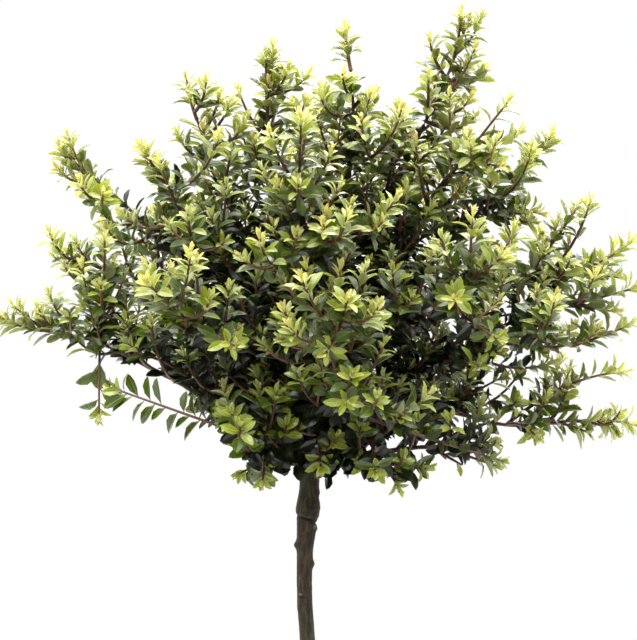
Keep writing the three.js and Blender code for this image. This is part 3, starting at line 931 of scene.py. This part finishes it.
def knot_height(height, turn):
    """How far the knots and stubs stand out at a place on the trunk."""
    total = 0
    for at, middle, out, size in KNOTS:
        up = (height - at) / size
        aside = turn_between(turn, middle) / KNOT_SPREAD
        total += out * math.exp(-up * up - aside * aside)
    return total


def slanted(height, turn):
    """A height by the collar, which lies lower on the right."""
    return height + COLLAR_SLANT * math.cos(math.radians(turn)) * smooth(height, *COLLAR_SLANT_FROM)


def crease_depth(height, turn):
    total = 0
    for at, middle, spread, depth in CREASES:
        up = (slanted(height, turn) - at) / CREASE_HEIGHT
        aside = turn_between(turn, middle) / spread
        total += depth * math.exp(-up * up - aside * aside)
    return total


def bark_relief(x, y, z):
    relief = 0
    for across, along, height in (RIDGES, GRAIN):
        relief += height * noise.noise(Vector((x * across, y * across, z * along)))
    return relief


def collar(height):
    start, full, fading, end = COLLAR
    return COLLAR_OUT * smooth(height, start, full) * (1 - smooth(height, fading, end))


def scar_share(height, turn):
    """How far a place on the trunk is a healed cut."""
    total = 0
    for at, middle, spread, size in SCARS:
        up = (height - at) / size
        aside = turn_between(turn, middle) / spread
        total += math.exp(-((up * up + aside * aside) ** 2))
    return total


def ring_heights(top):
    """Heights of the trunk's rings, close together where its knots and collar are."""
    low, high = FINE_RINGS
    below = np.arange(0, low, RING_STEP)
    fine = np.arange(low, high, FINE_STEP)
    above = np.arange(high, top, RING_STEP)
    return [*below, *fine, *above, top]


def make_trunk():
    """The trunk with its relief, how far each point is a scar, and how much painted shade it takes in the
    creases.
    """
    heights, radii = zip(*TRUNK_PROFILE)
    rings = ring_heights(heights[-1])
    vertices, scar, crease = [], [], []
    for z in map(float, rings):
        axis = trunk_axis(z)
        bare_radius = float(np.interp(z, heights, radii))
        for j in range(TRUNK_SIDES):
            turn = 360 * j / TRUNK_SIDES
            radius = bare_radius + collar(slanted(z, turn))
            a = math.radians(turn)
            x, y = radius * math.cos(a), radius * math.sin(a)
            depth = crease_depth(z, turn)
            healed = scar_share(z, turn)
            r = radius + knot_height(z, turn) - depth + bark_relief(x, y, z) + SCAR_OUT * healed
            vertices.append(Vector((axis.x + r * math.cos(a), axis.y + r * math.sin(a), z)) * MM)
            scar.append(healed)
            # painted shade: how dark the bark is painted in the creases, from their depth
            crease.append(min(depth, 1))
    mesh = mesh_of("trunk_bark", vertices, tube_faces(len(rings), TRUNK_SIDES))
    mark(mesh, "scar", "FLOAT", "POINT", scar)
    mark(mesh, "crease", "FLOAT", "POINT", crease)
    mesh.polygons.foreach_set("use_smooth", [True] * len(mesh.polygons))
    return new_object("trunk_bark", mesh)


def limb_rings(limb, seed):
    """Rings of points round a limb, which swells at its root and a little at its old nodes."""
    out, middle, half = ROOT_SWELLING
    vertices = []
    for i, point in enumerate(limb.points):
        share = i / (len(limb.points) - 1)
        along = (limb.points[min(i + 1, LIMB_STEPS)] - limb.points[max(i - 1, 0)]).normalized()
        side = around(along, 0)
        normal = side.cross(along)
        reached = share * limb.length
        radius = mix(limb.radius, limb.tip_radius, share**LIMB_TAPER)
        radius += out * math.exp(-(((reached - middle) / half) ** 2))
        radius *= 1 + NODE_SWELLING * math.sin(reached / NODE_LENGTH + seed)
        spot_height = seed * GRAIN_APART + i * GRAIN_ALONG
        for j in range(LIMB_SIDES):
            a = 2 * math.pi * j / LIMB_SIDES
            spot = Vector((GRAIN_ROUND * math.cos(a), GRAIN_ROUND * math.sin(a), spot_height))
            r = radius * (1 + LIMB_GRAIN * noise.noise(spot))
            vertices.append((point + side * (r * math.cos(a)) + normal * (r * math.sin(a))) * MM)
    return vertices


def make_limbs(limbs):
    """All limbs as one piece, with each point's youth: 0 at the root of its limb, 1 at the tip."""
    vertices, faces, youth = [], [], []
    for seed, limb in enumerate(limbs):
        first = len(vertices)
        rings = limb_rings(limb, seed)
        vertices += rings
        faces += [tuple(first + v for v in face) for face in tube_faces(LIMB_STEPS + 1, LIMB_SIDES)]
        youth += [i // LIMB_SIDES / LIMB_STEPS for i in range(len(rings))]
    mesh = mesh_of("bough_bark", vertices, faces)
    mark(mesh, "youth", "FLOAT", "POINT", youth)
    mesh.polygons.foreach_set("use_smooth", [True] * len(mesh.polygons))
    return new_object("bough_bark", mesh)


# Geometry Nodes


def new_tree(name, inputs):
    tree = bpy.data.node_groups.new(name, "GeometryNodeTree")
    tree.is_modifier = True
    tree.interface.new_socket("Geometry", in_out="INPUT", socket_type="NodeSocketGeometry")
    for label, kind in inputs:
        tree.interface.new_socket(label, in_out="INPUT", socket_type=kind)
    tree.interface.new_socket("Geometry", in_out="OUTPUT", socket_type="NodeSocketGeometry")
    return tree


def node(tree, kind, **settings):
    made = tree.nodes.new(kind)
    for key, value in settings.items():
        setattr(made, key, value)
    return made


def named_attribute(tree, name, kind):
    reader = node(tree, "GeometryNodeInputNamedAttribute", data_type=kind)
    reader.inputs["Name"].default_value = name
    return reader.outputs["Attribute"]


def run_tree(made, tree, values):
    """Turns an object into the plain mesh that a tree of nodes makes of it."""
    modifier = made.modifiers.new(tree.name, "NODES")
    modifier.node_group = tree
    for item in tree.interface.items_tree:
        if item.in_out == "INPUT" and item.name in values:
            modifier[item.identifier] = values[item.name]
    depsgraph = bpy.context.evaluated_depsgraph_get()
    mesh = bpy.data.meshes.new_from_object(
        made.evaluated_get(depsgraph), preserve_all_data_layers=True, depsgraph=depsgraph
    )
    made.modifiers.remove(modifier)
    made.data = mesh
    mesh.name = made.name
    return made


def twig_tree():
    """Paths with a thickness at each point become closed tubes."""
    tree = new_tree("twigs", [("Sides", "NodeSocketInt"), ("Bark", "NodeSocketMaterial")])
    entry = node(tree, "NodeGroupInput")
    to_curve = node(tree, "GeometryNodeMeshToCurve")
    profile = node(tree, "GeometryNodeCurvePrimitiveCircle")
    profile.inputs["Radius"].default_value = 1
    tube = node(tree, "GeometryNodeCurveToMesh")
    tube.inputs["Fill Caps"].default_value = True
    shade = node(tree, "GeometryNodeSetShadeSmooth")
    realize = node(tree, "GeometryNodeRealizeInstances")
    finish = node(tree, "GeometryNodeSetMaterial")
    leave = node(tree, "NodeGroupOutput")
    link = tree.links.new
    link(entry.outputs["Geometry"], to_curve.inputs["Mesh"])
    link(entry.outputs["Sides"], profile.inputs["Resolution"])
    link(to_curve.outputs["Curve"], tube.inputs["Curve"])
    link(named_attribute(tree, "thickness", "FLOAT"), tube.inputs["Scale"])
    link(profile.outputs["Curve"], tube.inputs["Profile Curve"])
    link(tube.outputs["Mesh"], shade.inputs["Geometry"])
    link(shade.outputs["Geometry"], realize.inputs["Geometry"])
    link(realize.outputs["Geometry"], finish.inputs["Geometry"])
    link(entry.outputs["Bark"], finish.inputs["Material"])
    link(finish.outputs["Geometry"], leave.inputs["Geometry"])
    return tree


def make_twigs(name, shoots, tree, bark):
    """A piece of twigs: a path for each, with its thickness at every point."""
    vertices, edges, thickness = [], [], []
    for shoot in shoots:
        first = len(vertices)
        for i, point in enumerate(shoot.points):
            share = i / (len(shoot.points) - 1)
            vertices.append(point * MM)
            thickness.append(mix(shoot.radius, shoot.tip_radius, share) * MM)
            if i:
                edges.append((first + i - 1, first + i))
    mesh = mesh_of(name, vertices, [], edges)
    mark(mesh, "thickness", "FLOAT", "POINT", thickness)
    return run_tree(new_object(name, mesh), tree, {"Sides": TWIG_SIDES, "Bark": bark})


def leaf_row(bend, fold, share, half):
    """The points across a leaf: left edge, both sides of the midrib, right edge, and the underside."""
    y = math.sin(bend * share) / bend
    z = -(1 - math.cos(bend * share)) / bend
    lift = half * fold * FOLD_LIFT
    rib = min(MIDRIB, half * MIDRIB_SHARE)
    rib_z = z + lift * rib / half - MIDRIB_DEPTH
    return [
        (-half, y, z + lift),
        (-rib, y, rib_z),
        (rib, y, rib_z),
        (half, y, z + lift),
        (0, y, z - LEAF_THICKNESS),
    ]


def leaf_form(name, bend, fold):
    """A thin closed leaf, base at the origin, along +Y, upper side to +Z."""
    vertices = [(0, 0, 0)]
    for share, half in LEAF_OUTLINE:
        vertices += leaf_row(bend, fold, share, half)
    vertices.append((0, math.sin(bend) / bend, -(1 - math.cos(bend)) / bend))
    tip = len(vertices) - 1
    faces = []
    for a in range(1, tip - ROW_POINTS, ROW_POINTS):
        b = a + ROW_POINTS
        faces += [(a + i, a + j, b + j, b + i) for i, j, _ in STRIPS]
    faces += [(0, 1 + j, 1 + i) for i, j, _ in STRIPS]
    a = tip - ROW_POINTS
    faces += [(a + i, a + j, tip) for i, j, _ in STRIPS]
    mesh = mesh_of(name, vertices, faces)
    mark_leaf(mesh, [side for _, _, side in STRIPS] * (len(LEAF_OUTLINE) + 1))
    return new_object(name, mesh)


def mark_leaf(mesh, sides):
    """Marks the midrib and the underside, and keeps the edges between the leaf's sides sharp."""
    mark(mesh, "midrib", "BOOLEAN", "FACE", [side == RIB for side in sides])
    mark(mesh, "underside", "BOOLEAN", "FACE", [side == UNDER for side in sides])
    mesh.polygons.foreach_set("use_smooth", [True] * len(mesh.polygons))
    meeting = {}
    for polygon in mesh.polygons:
        for key in polygon.edge_keys:
            meeting.setdefault(key, set()).add(sides[polygon.index])
    mark(mesh, "sharp_edge", "BOOLEAN", "EDGE", [len(meeting[edge.key]) > 1 for edge in mesh.edges])


def leaf_tree():
    """A leaf at every point, turned and scaled by the point's own values, in one of the leaf forms."""
    tree = new_tree(
        "leaves",
        [
            ("Forms", "NodeSocketCollection"),
            ("Upper side", "NodeSocketMaterial"),
            ("Midrib", "NodeSocketMaterial"),
            ("Underside", "NodeSocketMaterial"),
        ],
    )
    entry = node(tree, "NodeGroupInput")
    forms = node(tree, "GeometryNodeCollectionInfo")
    forms.inputs["Separate Children"].default_value = True
    forms.inputs["Reset Children"].default_value = True
    place = node(tree, "GeometryNodeInstanceOnPoints")
    place.inputs["Pick Instance"].default_value = True
    turn = node(tree, "FunctionNodeEulerToRotation")
    realize = node(tree, "GeometryNodeRealizeInstances")
    leave = node(tree, "NodeGroupOutput")
    link = tree.links.new
    link(entry.outputs["Forms"], forms.inputs["Collection"])
    link(entry.outputs["Geometry"], place.inputs["Points"])
    link(forms.outputs["Instances"], place.inputs["Instance"])
    link(named_attribute(tree, "form", "INT"), place.inputs["Instance Index"])
    link(named_attribute(tree, "facing", "FLOAT_VECTOR"), turn.inputs["Euler"])
    link(turn.outputs["Rotation"], place.inputs["Rotation"])
    link(named_attribute(tree, "size", "FLOAT_VECTOR"), place.inputs["Scale"])
    link(place.outputs["Instances"], realize.inputs["Geometry"])
    last = realize.outputs["Geometry"]
    for label, attribute in (("Upper side", None), ("Midrib", "midrib"), ("Underside", "underside")):
        finish = node(tree, "GeometryNodeSetMaterial")
        link(last, finish.inputs["Geometry"])
        link(entry.outputs[label], finish.inputs["Material"])
        if attribute:
            link(named_attribute(tree, attribute, "BOOLEAN"), finish.inputs["Selection"])
        last = finish.outputs["Geometry"]
    link(last, leave.inputs["Geometry"])
    return tree


def make_leaves(name, leaves, tree, forms, finishes):
    """A piece of leaves: a point for each, with the leaf's turn, size and form."""
    mesh = mesh_of(name, [leaf.base * MM for leaf in leaves], [])
    facing = [value for leaf in leaves for value in leaf.facing]
    size = [value * MM for leaf in leaves for value in (leaf.width, leaf.length, leaf.length)]
    mark(mesh, "facing", "FLOAT_VECTOR", "POINT", facing)
    mark(mesh, "size", "FLOAT_VECTOR", "POINT", size)
    mark(mesh, "form", "INT", "POINT", [leaf.form for leaf in leaves])
    upper, midrib, underside = finishes
    values = {"Forms": forms, "Upper side": upper, "Midrib": midrib, "Underside": underside}
    return run_tree(new_object(name, mesh), tree, values)


# Finishes


def srgb(red, green, blue):
    """A colour given in the 0 to 255 values of a screen, as Blender's linear one."""
    return (*[linear(value / 255) for value in (red, green, blue)], 1)


def linear(value):
    return value / 12.92 if value <= 0.04045 else ((value + 0.055) / 1.055) ** 2.4


BLACK = (0, 0, 0, 1)
WHITE = (1, 1, 1, 1)
PORE_STRENGTH = (0.75, 0.75, 0.75, 1)
BROWN_TWIG = srgb(88, 52, 34)
RED_TWIG = srgb(124, 76, 46)
# Each kind of leaf: the colours of its upper side, midrib and underside, then its roughness, how much light
# it lets through, and its gloss
LEAF_KINDS = {
    "golden": ((184, 171, 72), (199, 186, 102), (186, 176, 98), 0.42, 0.26, 0.6),
    "lime": ((145, 150, 54), (172, 173, 92), (154, 155, 92), 0.4, 0.24, 0.62),
    "fresh": ((103, 116, 24), (136, 143, 62), (142, 146, 88), 0.38, 0.2, 0.62),
    "green": ((48, 63, 2), (83, 95, 31), (110, 118, 72), 0.32, 0.08, 0.52),
    # The dark kind is the old leaves' own deep green, darkened towards black as painted shade for the head's
    # inside
    "dark": ((12, 21, 1), (29, 40, 8), (44, 54, 24), 0.33, 0.02, 0.4),
}
DULLER_MIDRIB = 0.1
UNDERSIDE_ROUGHNESS = 0.6
UNDERSIDE_GLOSS = 0.4
LIGHT_THROUGH = (0.85, 1.0, 0.2)  # how far red, green and blue light spread in a leaf, as shares of its depth
LIGHT_DEPTH = 0.002


def new_finish(name, colour, roughness, specular=0.5):
    material = bpy.data.materials.new(name)
    material.use_nodes = True
    shader = material.node_tree.nodes["Principled BSDF"]
    shader.inputs["Base Color"].default_value = colour
    shader.inputs["Roughness"].default_value = roughness
    shader.inputs["Specular IOR Level"].default_value = specular
    return material, shader


def texture(material, kind, scale, stretch=(1, 1, 1), **settings):
    """A texture on Object coordinates."""
    nodes, link = material.node_tree.nodes, material.node_tree.links.new
    place = nodes.new("ShaderNodeTexCoord")
    mapping = nodes.new("ShaderNodeMapping")
    mapping.inputs["Scale"].default_value = stretch
    made = nodes.new(kind)
    made.inputs["Scale"].default_value = scale
    for key, value in settings.items():
        made.inputs[key].default_value = value
    link(place.outputs["Object"], mapping.inputs["Vector"])
    link(mapping.outputs["Vector"], made.inputs["Vector"])
    return made


def ramp(material, source, stops):
    nodes, link = material.node_tree.nodes, material.node_tree.links.new
    made = nodes.new("ShaderNodeValToRGB")
    elements = made.color_ramp.elements
    while len(elements) < len(stops):
        elements.new(0.5)
    for element, (at, colour) in zip(elements, stops):
        element.position = at
        element.color = colour
    link(source, made.inputs["Fac"])
    return made.outputs["Color"]


def attribute(material, name):
    reader = material.node_tree.nodes.new("ShaderNodeAttribute")
    reader.attribute_name = name
    return reader.outputs["Fac"]


def plain_colour(material, colour):
    made = material.node_tree.nodes.new("ShaderNodeRGB")
    made.outputs["Color"].default_value = colour
    return made.outputs["Color"]


def blend_colours(material, share, first, second):
    nodes, link = material.node_tree.nodes, material.node_tree.links.new
    made = nodes.new("ShaderNodeMix")
    made.data_type = "RGBA"
    link(share, made.inputs["Factor"])
    link(first, made.inputs["A"])
    link(second, made.inputs["B"])
    return made.outputs["Result"]


def add_bump(material, shader, source, strength, distance):
    nodes, link = material.node_tree.nodes, material.node_tree.links.new
    bump = nodes.new("ShaderNodeBump")
    bump.inputs["Strength"].default_value = strength
    bump.inputs["Distance"].default_value = distance
    link(source, bump.inputs["Height"])
    link(bump.outputs["Normal"], shader.inputs["Normal"])


def bark_finish():
    """Brown bark with olive patches, fine upright streaks and pale pores, paler scars, and creases darkened
    with painted shade.
    """
    material, shader = new_finish("trunk_bark", srgb(92, 84, 68), 0.82, 0.3)
    streaks = texture(material, "ShaderNodeTexNoise", 260, (1, 1, 0.22), Detail=8, Roughness=0.65)
    patches = texture(material, "ShaderNodeTexNoise", 34, (1, 1, 0.5), Detail=3)
    pores = texture(material, "ShaderNodeTexVoronoi", 330, (1, 1, 0.8), Randomness=1)
    streak = streaks.outputs["Fac"]
    browns = [(0.3, srgb(27, 21, 14)), (0.5, srgb(51, 41, 28)), (0.68, srgb(79, 66, 47))]
    olives = [(0.3, srgb(23, 22, 14)), (0.5, srgb(45, 44, 28)), (0.68, srgb(72, 70, 47))]
    brown = ramp(material, streak, browns)
    olive = ramp(material, streak, olives)
    scarred = ramp(material, streak, [(0.3, srgb(88, 78, 62)), (0.7, srgb(118, 106, 86))])
    # painted shade: the near-black colour given to the creases
    painted_crease_shade = ramp(material, streak, [(0.3, srgb(12, 10, 8)), (0.7, srgb(22, 19, 15))])
    where = ramp(material, patches.outputs["Fac"], [(0.42, BLACK), (0.6, WHITE)])
    dots = ramp(material, pores.outputs["Distance"], [(0.08, PORE_STRENGTH), (0.2, BLACK)])
    healed = ramp(material, attribute(material, "scar"), [(0.2, BLACK), (0.8, WHITE)])
    crease_shade_mask = ramp(material, attribute(material, "crease"), [(0.1, BLACK), (0.9, WHITE)])
    colour = blend_colours(material, where, brown, olive)
    colour = blend_colours(material, dots, colour, plain_colour(material, srgb(80, 73, 59)))
    colour = blend_colours(material, healed, colour, scarred)
    colour = blend_colours(material, crease_shade_mask, colour, painted_crease_shade)
    material.node_tree.links.new(colour, shader.inputs["Base Color"])
    add_bump(material, shader, streak, 0.7, 0.0009)
    return material


def bough_finish():
    """Brown bark that turns redder towards the limb's tip."""
    material, shader = new_finish("bough_bark", srgb(98, 70, 55), 0.6, 0.4)
    grain = texture(material, "ShaderNodeTexNoise", 420, (1, 1, 0.6), Detail=6)
    old = ramp(material, grain.outputs["Fac"], [(0.3, srgb(40, 31, 25)), (0.7, srgb(88, 70, 56))])
    young = ramp(material, grain.outputs["Fac"], [(0.3, srgb(56, 31, 22)), (0.7, srgb(104, 64, 44))])
    share = ramp(material, attribute(material, "youth"), [(0.3, BLACK), (0.75, WHITE)])
    colour = blend_colours(material, share, old, young)
    material.node_tree.links.new(colour, shader.inputs["Base Color"])
    add_bump(material, shader, grain.outputs["Fac"], 0.6, 0.0006)
    return material


def twig_finish(name, colour):
    material, shader = new_finish(name, colour, 0.48, 0.45)
    grain = texture(material, "ShaderNodeTexNoise", 700, Detail=4)
    add_bump(material, shader, grain.outputs["Fac"], 0.5, 0.0004)
    return material


def leaf_finish(name, colour, roughness, through, gloss):
    """A leathery leaf surface that lets a little light through."""
    material, shader = new_finish(name, colour, roughness, gloss)
    shader.inputs["Subsurface Weight"].default_value = through
    shader.inputs["Subsurface Radius"].default_value = LIGHT_THROUGH
    shader.inputs["Subsurface Scale"].default_value = LIGHT_DEPTH
    grain = texture(material, "ShaderNodeTexNoise", 520, Detail=2)
    add_bump(material, shader, grain.outputs["Fac"], 0.35, 0.0005)
    return material


def leaf_finishes(kind):
    upper, midrib, underside, roughness, through, gloss = LEAF_KINDS[kind]
    return (
        leaf_finish(f"{kind}_leaf", srgb(*upper), roughness, through, gloss),
        leaf_finish(f"{kind}_midrib", srgb(*midrib), roughness + DULLER_MIDRIB, through, gloss),
        leaf_finish(
            f"{kind}_underside", srgb(*underside), UNDERSIDE_ROUGHNESS, through, UNDERSIDE_GLOSS
        ),
    )


# Studio


def make_camera():
    data = bpy.data.cameras.new("camera")
    data.sensor_fit = "HORIZONTAL"
    data.lens = data.sensor_width * CAMERA_DISTANCE / FIELD_WIDTH
    data.clip_start, data.clip_end = 0.1, 50
    camera = new_object("camera", data)
    e = math.radians(CAMERA_ELEVATION)
    back = Vector((0, -math.cos(e), math.sin(e)))
    camera.location = CAMERA_TARGET + back * CAMERA_DISTANCE
    camera.rotation_euler = (-back).to_track_quat("-Z", "Y").to_euler()
    bpy.context.scene.camera = camera


def make_light(name, size, power, place, target):
    data = bpy.data.lights.new(name, "AREA")
    data.size = size
    data.energy = power
    light = new_object(name, data)
    light.location = place
    light.rotation_euler = (Vector(target) - Vector(place)).to_track_quat("-Z", "Y").to_euler()


def make_floor():
    vertices = []
    for k in range(FLOOR_SIDES):
        a = 2 * math.pi * k / FLOOR_SIDES
        vertices.append((FLOOR_RADIUS * math.cos(a), FLOOR_RADIUS * math.sin(a), -MM))
    floor = new_object("floor", mesh_of("floor", vertices, [tuple(range(FLOOR_SIDES))]))
    material, _ = new_finish("floor", srgb(158, 158, 156), 0.9, 0.2)
    floor.data.materials.append(material)


def make_world():
    """A white backdrop. The light is brightest from overhead, fair from behind and dim from underneath."""
    world = bpy.data.worlds.new("sky")
    world.use_nodes = True
    nodes, link = world.node_tree.nodes, world.node_tree.links.new
    place = nodes.new("ShaderNodeTexCoord")
    split = nodes.new("ShaderNodeSeparateXYZ")
    shade = nodes.new("ShaderNodeMapRange")
    shade.interpolation_type = "SMOOTHSTEP"
    shade.inputs["From Min"].default_value = 0
    shade.inputs["From Max"].default_value = 1
    shade.inputs["To Min"].default_value = SKY_BELOW
    shade.inputs["To Max"].default_value = SKY_ABOVE
    glow = nodes.new("ShaderNodeMapRange")
    glow.interpolation_type = "SMOOTHSTEP"
    glow.inputs["From Min"].default_value = GLOW_FROM
    glow.inputs["From Max"].default_value = 1
    glow.inputs["To Max"].default_value = BACKDROP_GLOW
    total = nodes.new("ShaderNodeMath")
    total.operation = "ADD"
    seen = nodes.new("ShaderNodeLightPath")
    backdrop = nodes.new("ShaderNodeMix")
    backdrop.inputs["B"].default_value = 1
    link(place.outputs["Generated"], split.inputs["Vector"])
    link(split.outputs["Z"], shade.inputs["Value"])
    link(split.outputs["Y"], glow.inputs["Value"])
    link(shade.outputs["Result"], total.inputs[0])
    link(glow.outputs["Result"], total.inputs[1])
    link(seen.outputs["Is Camera Ray"], backdrop.inputs["Factor"])
    link(total.outputs["Value"], backdrop.inputs["A"])
    link(backdrop.outputs["Result"], nodes["Background"].inputs["Strength"])
    nodes["Background"].inputs["Color"].default_value = WHITE
    bpy.context.scene.world = world


def make_studio():
    make_camera()
    make_world()
    make_floor()
    for lamp in LAMPS:
        make_light(*lamp)
    bpy.context.scene.view_settings.view_transform = "Standard"
    bpy.context.scene.view_settings.look = "None"


# The whole plant


def collect(name, objects):
    """A collection of the leaf forms, for the leaf tree to pick from."""
    group = bpy.data.collections.new(name)
    for made in objects:
        group.objects.link(made)
        bpy.context.scene.collection.objects.unlink(made)
    bpy.context.scene.collection.children.link(group)
    return group


def dress(piece, nodes):
    """Rides a finished piece on the plant's one body, in place of its solids."""
    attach(piece, "root")
    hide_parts(*nodes)


def make_wood(limbs, shoots, twigs, boughs, masses):
    """The trunk, the limbs, the brown side shoots and the red twigs on them."""
    trunk = make_trunk()
    trunk.data.materials.append(bark_finish())
    dress(trunk, ["trunk"])
    wood = make_limbs(limbs)
    wood.data.materials.append(bough_finish())
    dress(wood, boughs)
    tree = twig_tree()
    brown = make_twigs("brown_twigs", shoots, tree, twig_finish("brown_twig", BROWN_TWIG))
    red = make_twigs("red_twigs", twigs, tree, twig_finish("red_twig", RED_TWIG))
    dress(brown, masses)
    dress(red, masses)


def make_foliage(leaves, masses):
    """Each kind of leaf as one or more pieces, dealt out in turn so that they are about as large."""
    forms = [leaf_form(f"leaf_form_{i}", *form) for i, form in enumerate(LEAF_FORMS)]
    group = collect("leaf_forms", forms)
    tree = leaf_tree()
    for kind in LEAF_KINDS:
        chosen = [leaf for leaf in leaves if leaf.kind == kind]
        finishes = leaf_finishes(kind)
        pieces = math.ceil(len(chosen) / LEAVES_A_PIECE)
        for part in range(pieces):
            name = f"{kind}_leaves_{part + 1}"
            dress(make_leaves(name, chosen[part::pieces], tree, group, finishes), masses)
    for form in forms:
        bpy.data.objects.remove(form)
    bpy.data.collections.remove(group)


def main():
    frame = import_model()
    make_studio()
    limbs = grow_limbs(random.Random(LIMB_SEED))
    shoots, twigs = grow_shoots(limbs)
    masses = [name for name in frame["nodes"] if name.startswith("foliage_")]
    boughs = [name for name in frame["nodes"] if name.startswith("bough_")]
    make_wood(limbs, shoots, twigs, boughs, masses)
    make_foliage(grow_leaves(limbs, shoots + twigs), masses)


main()
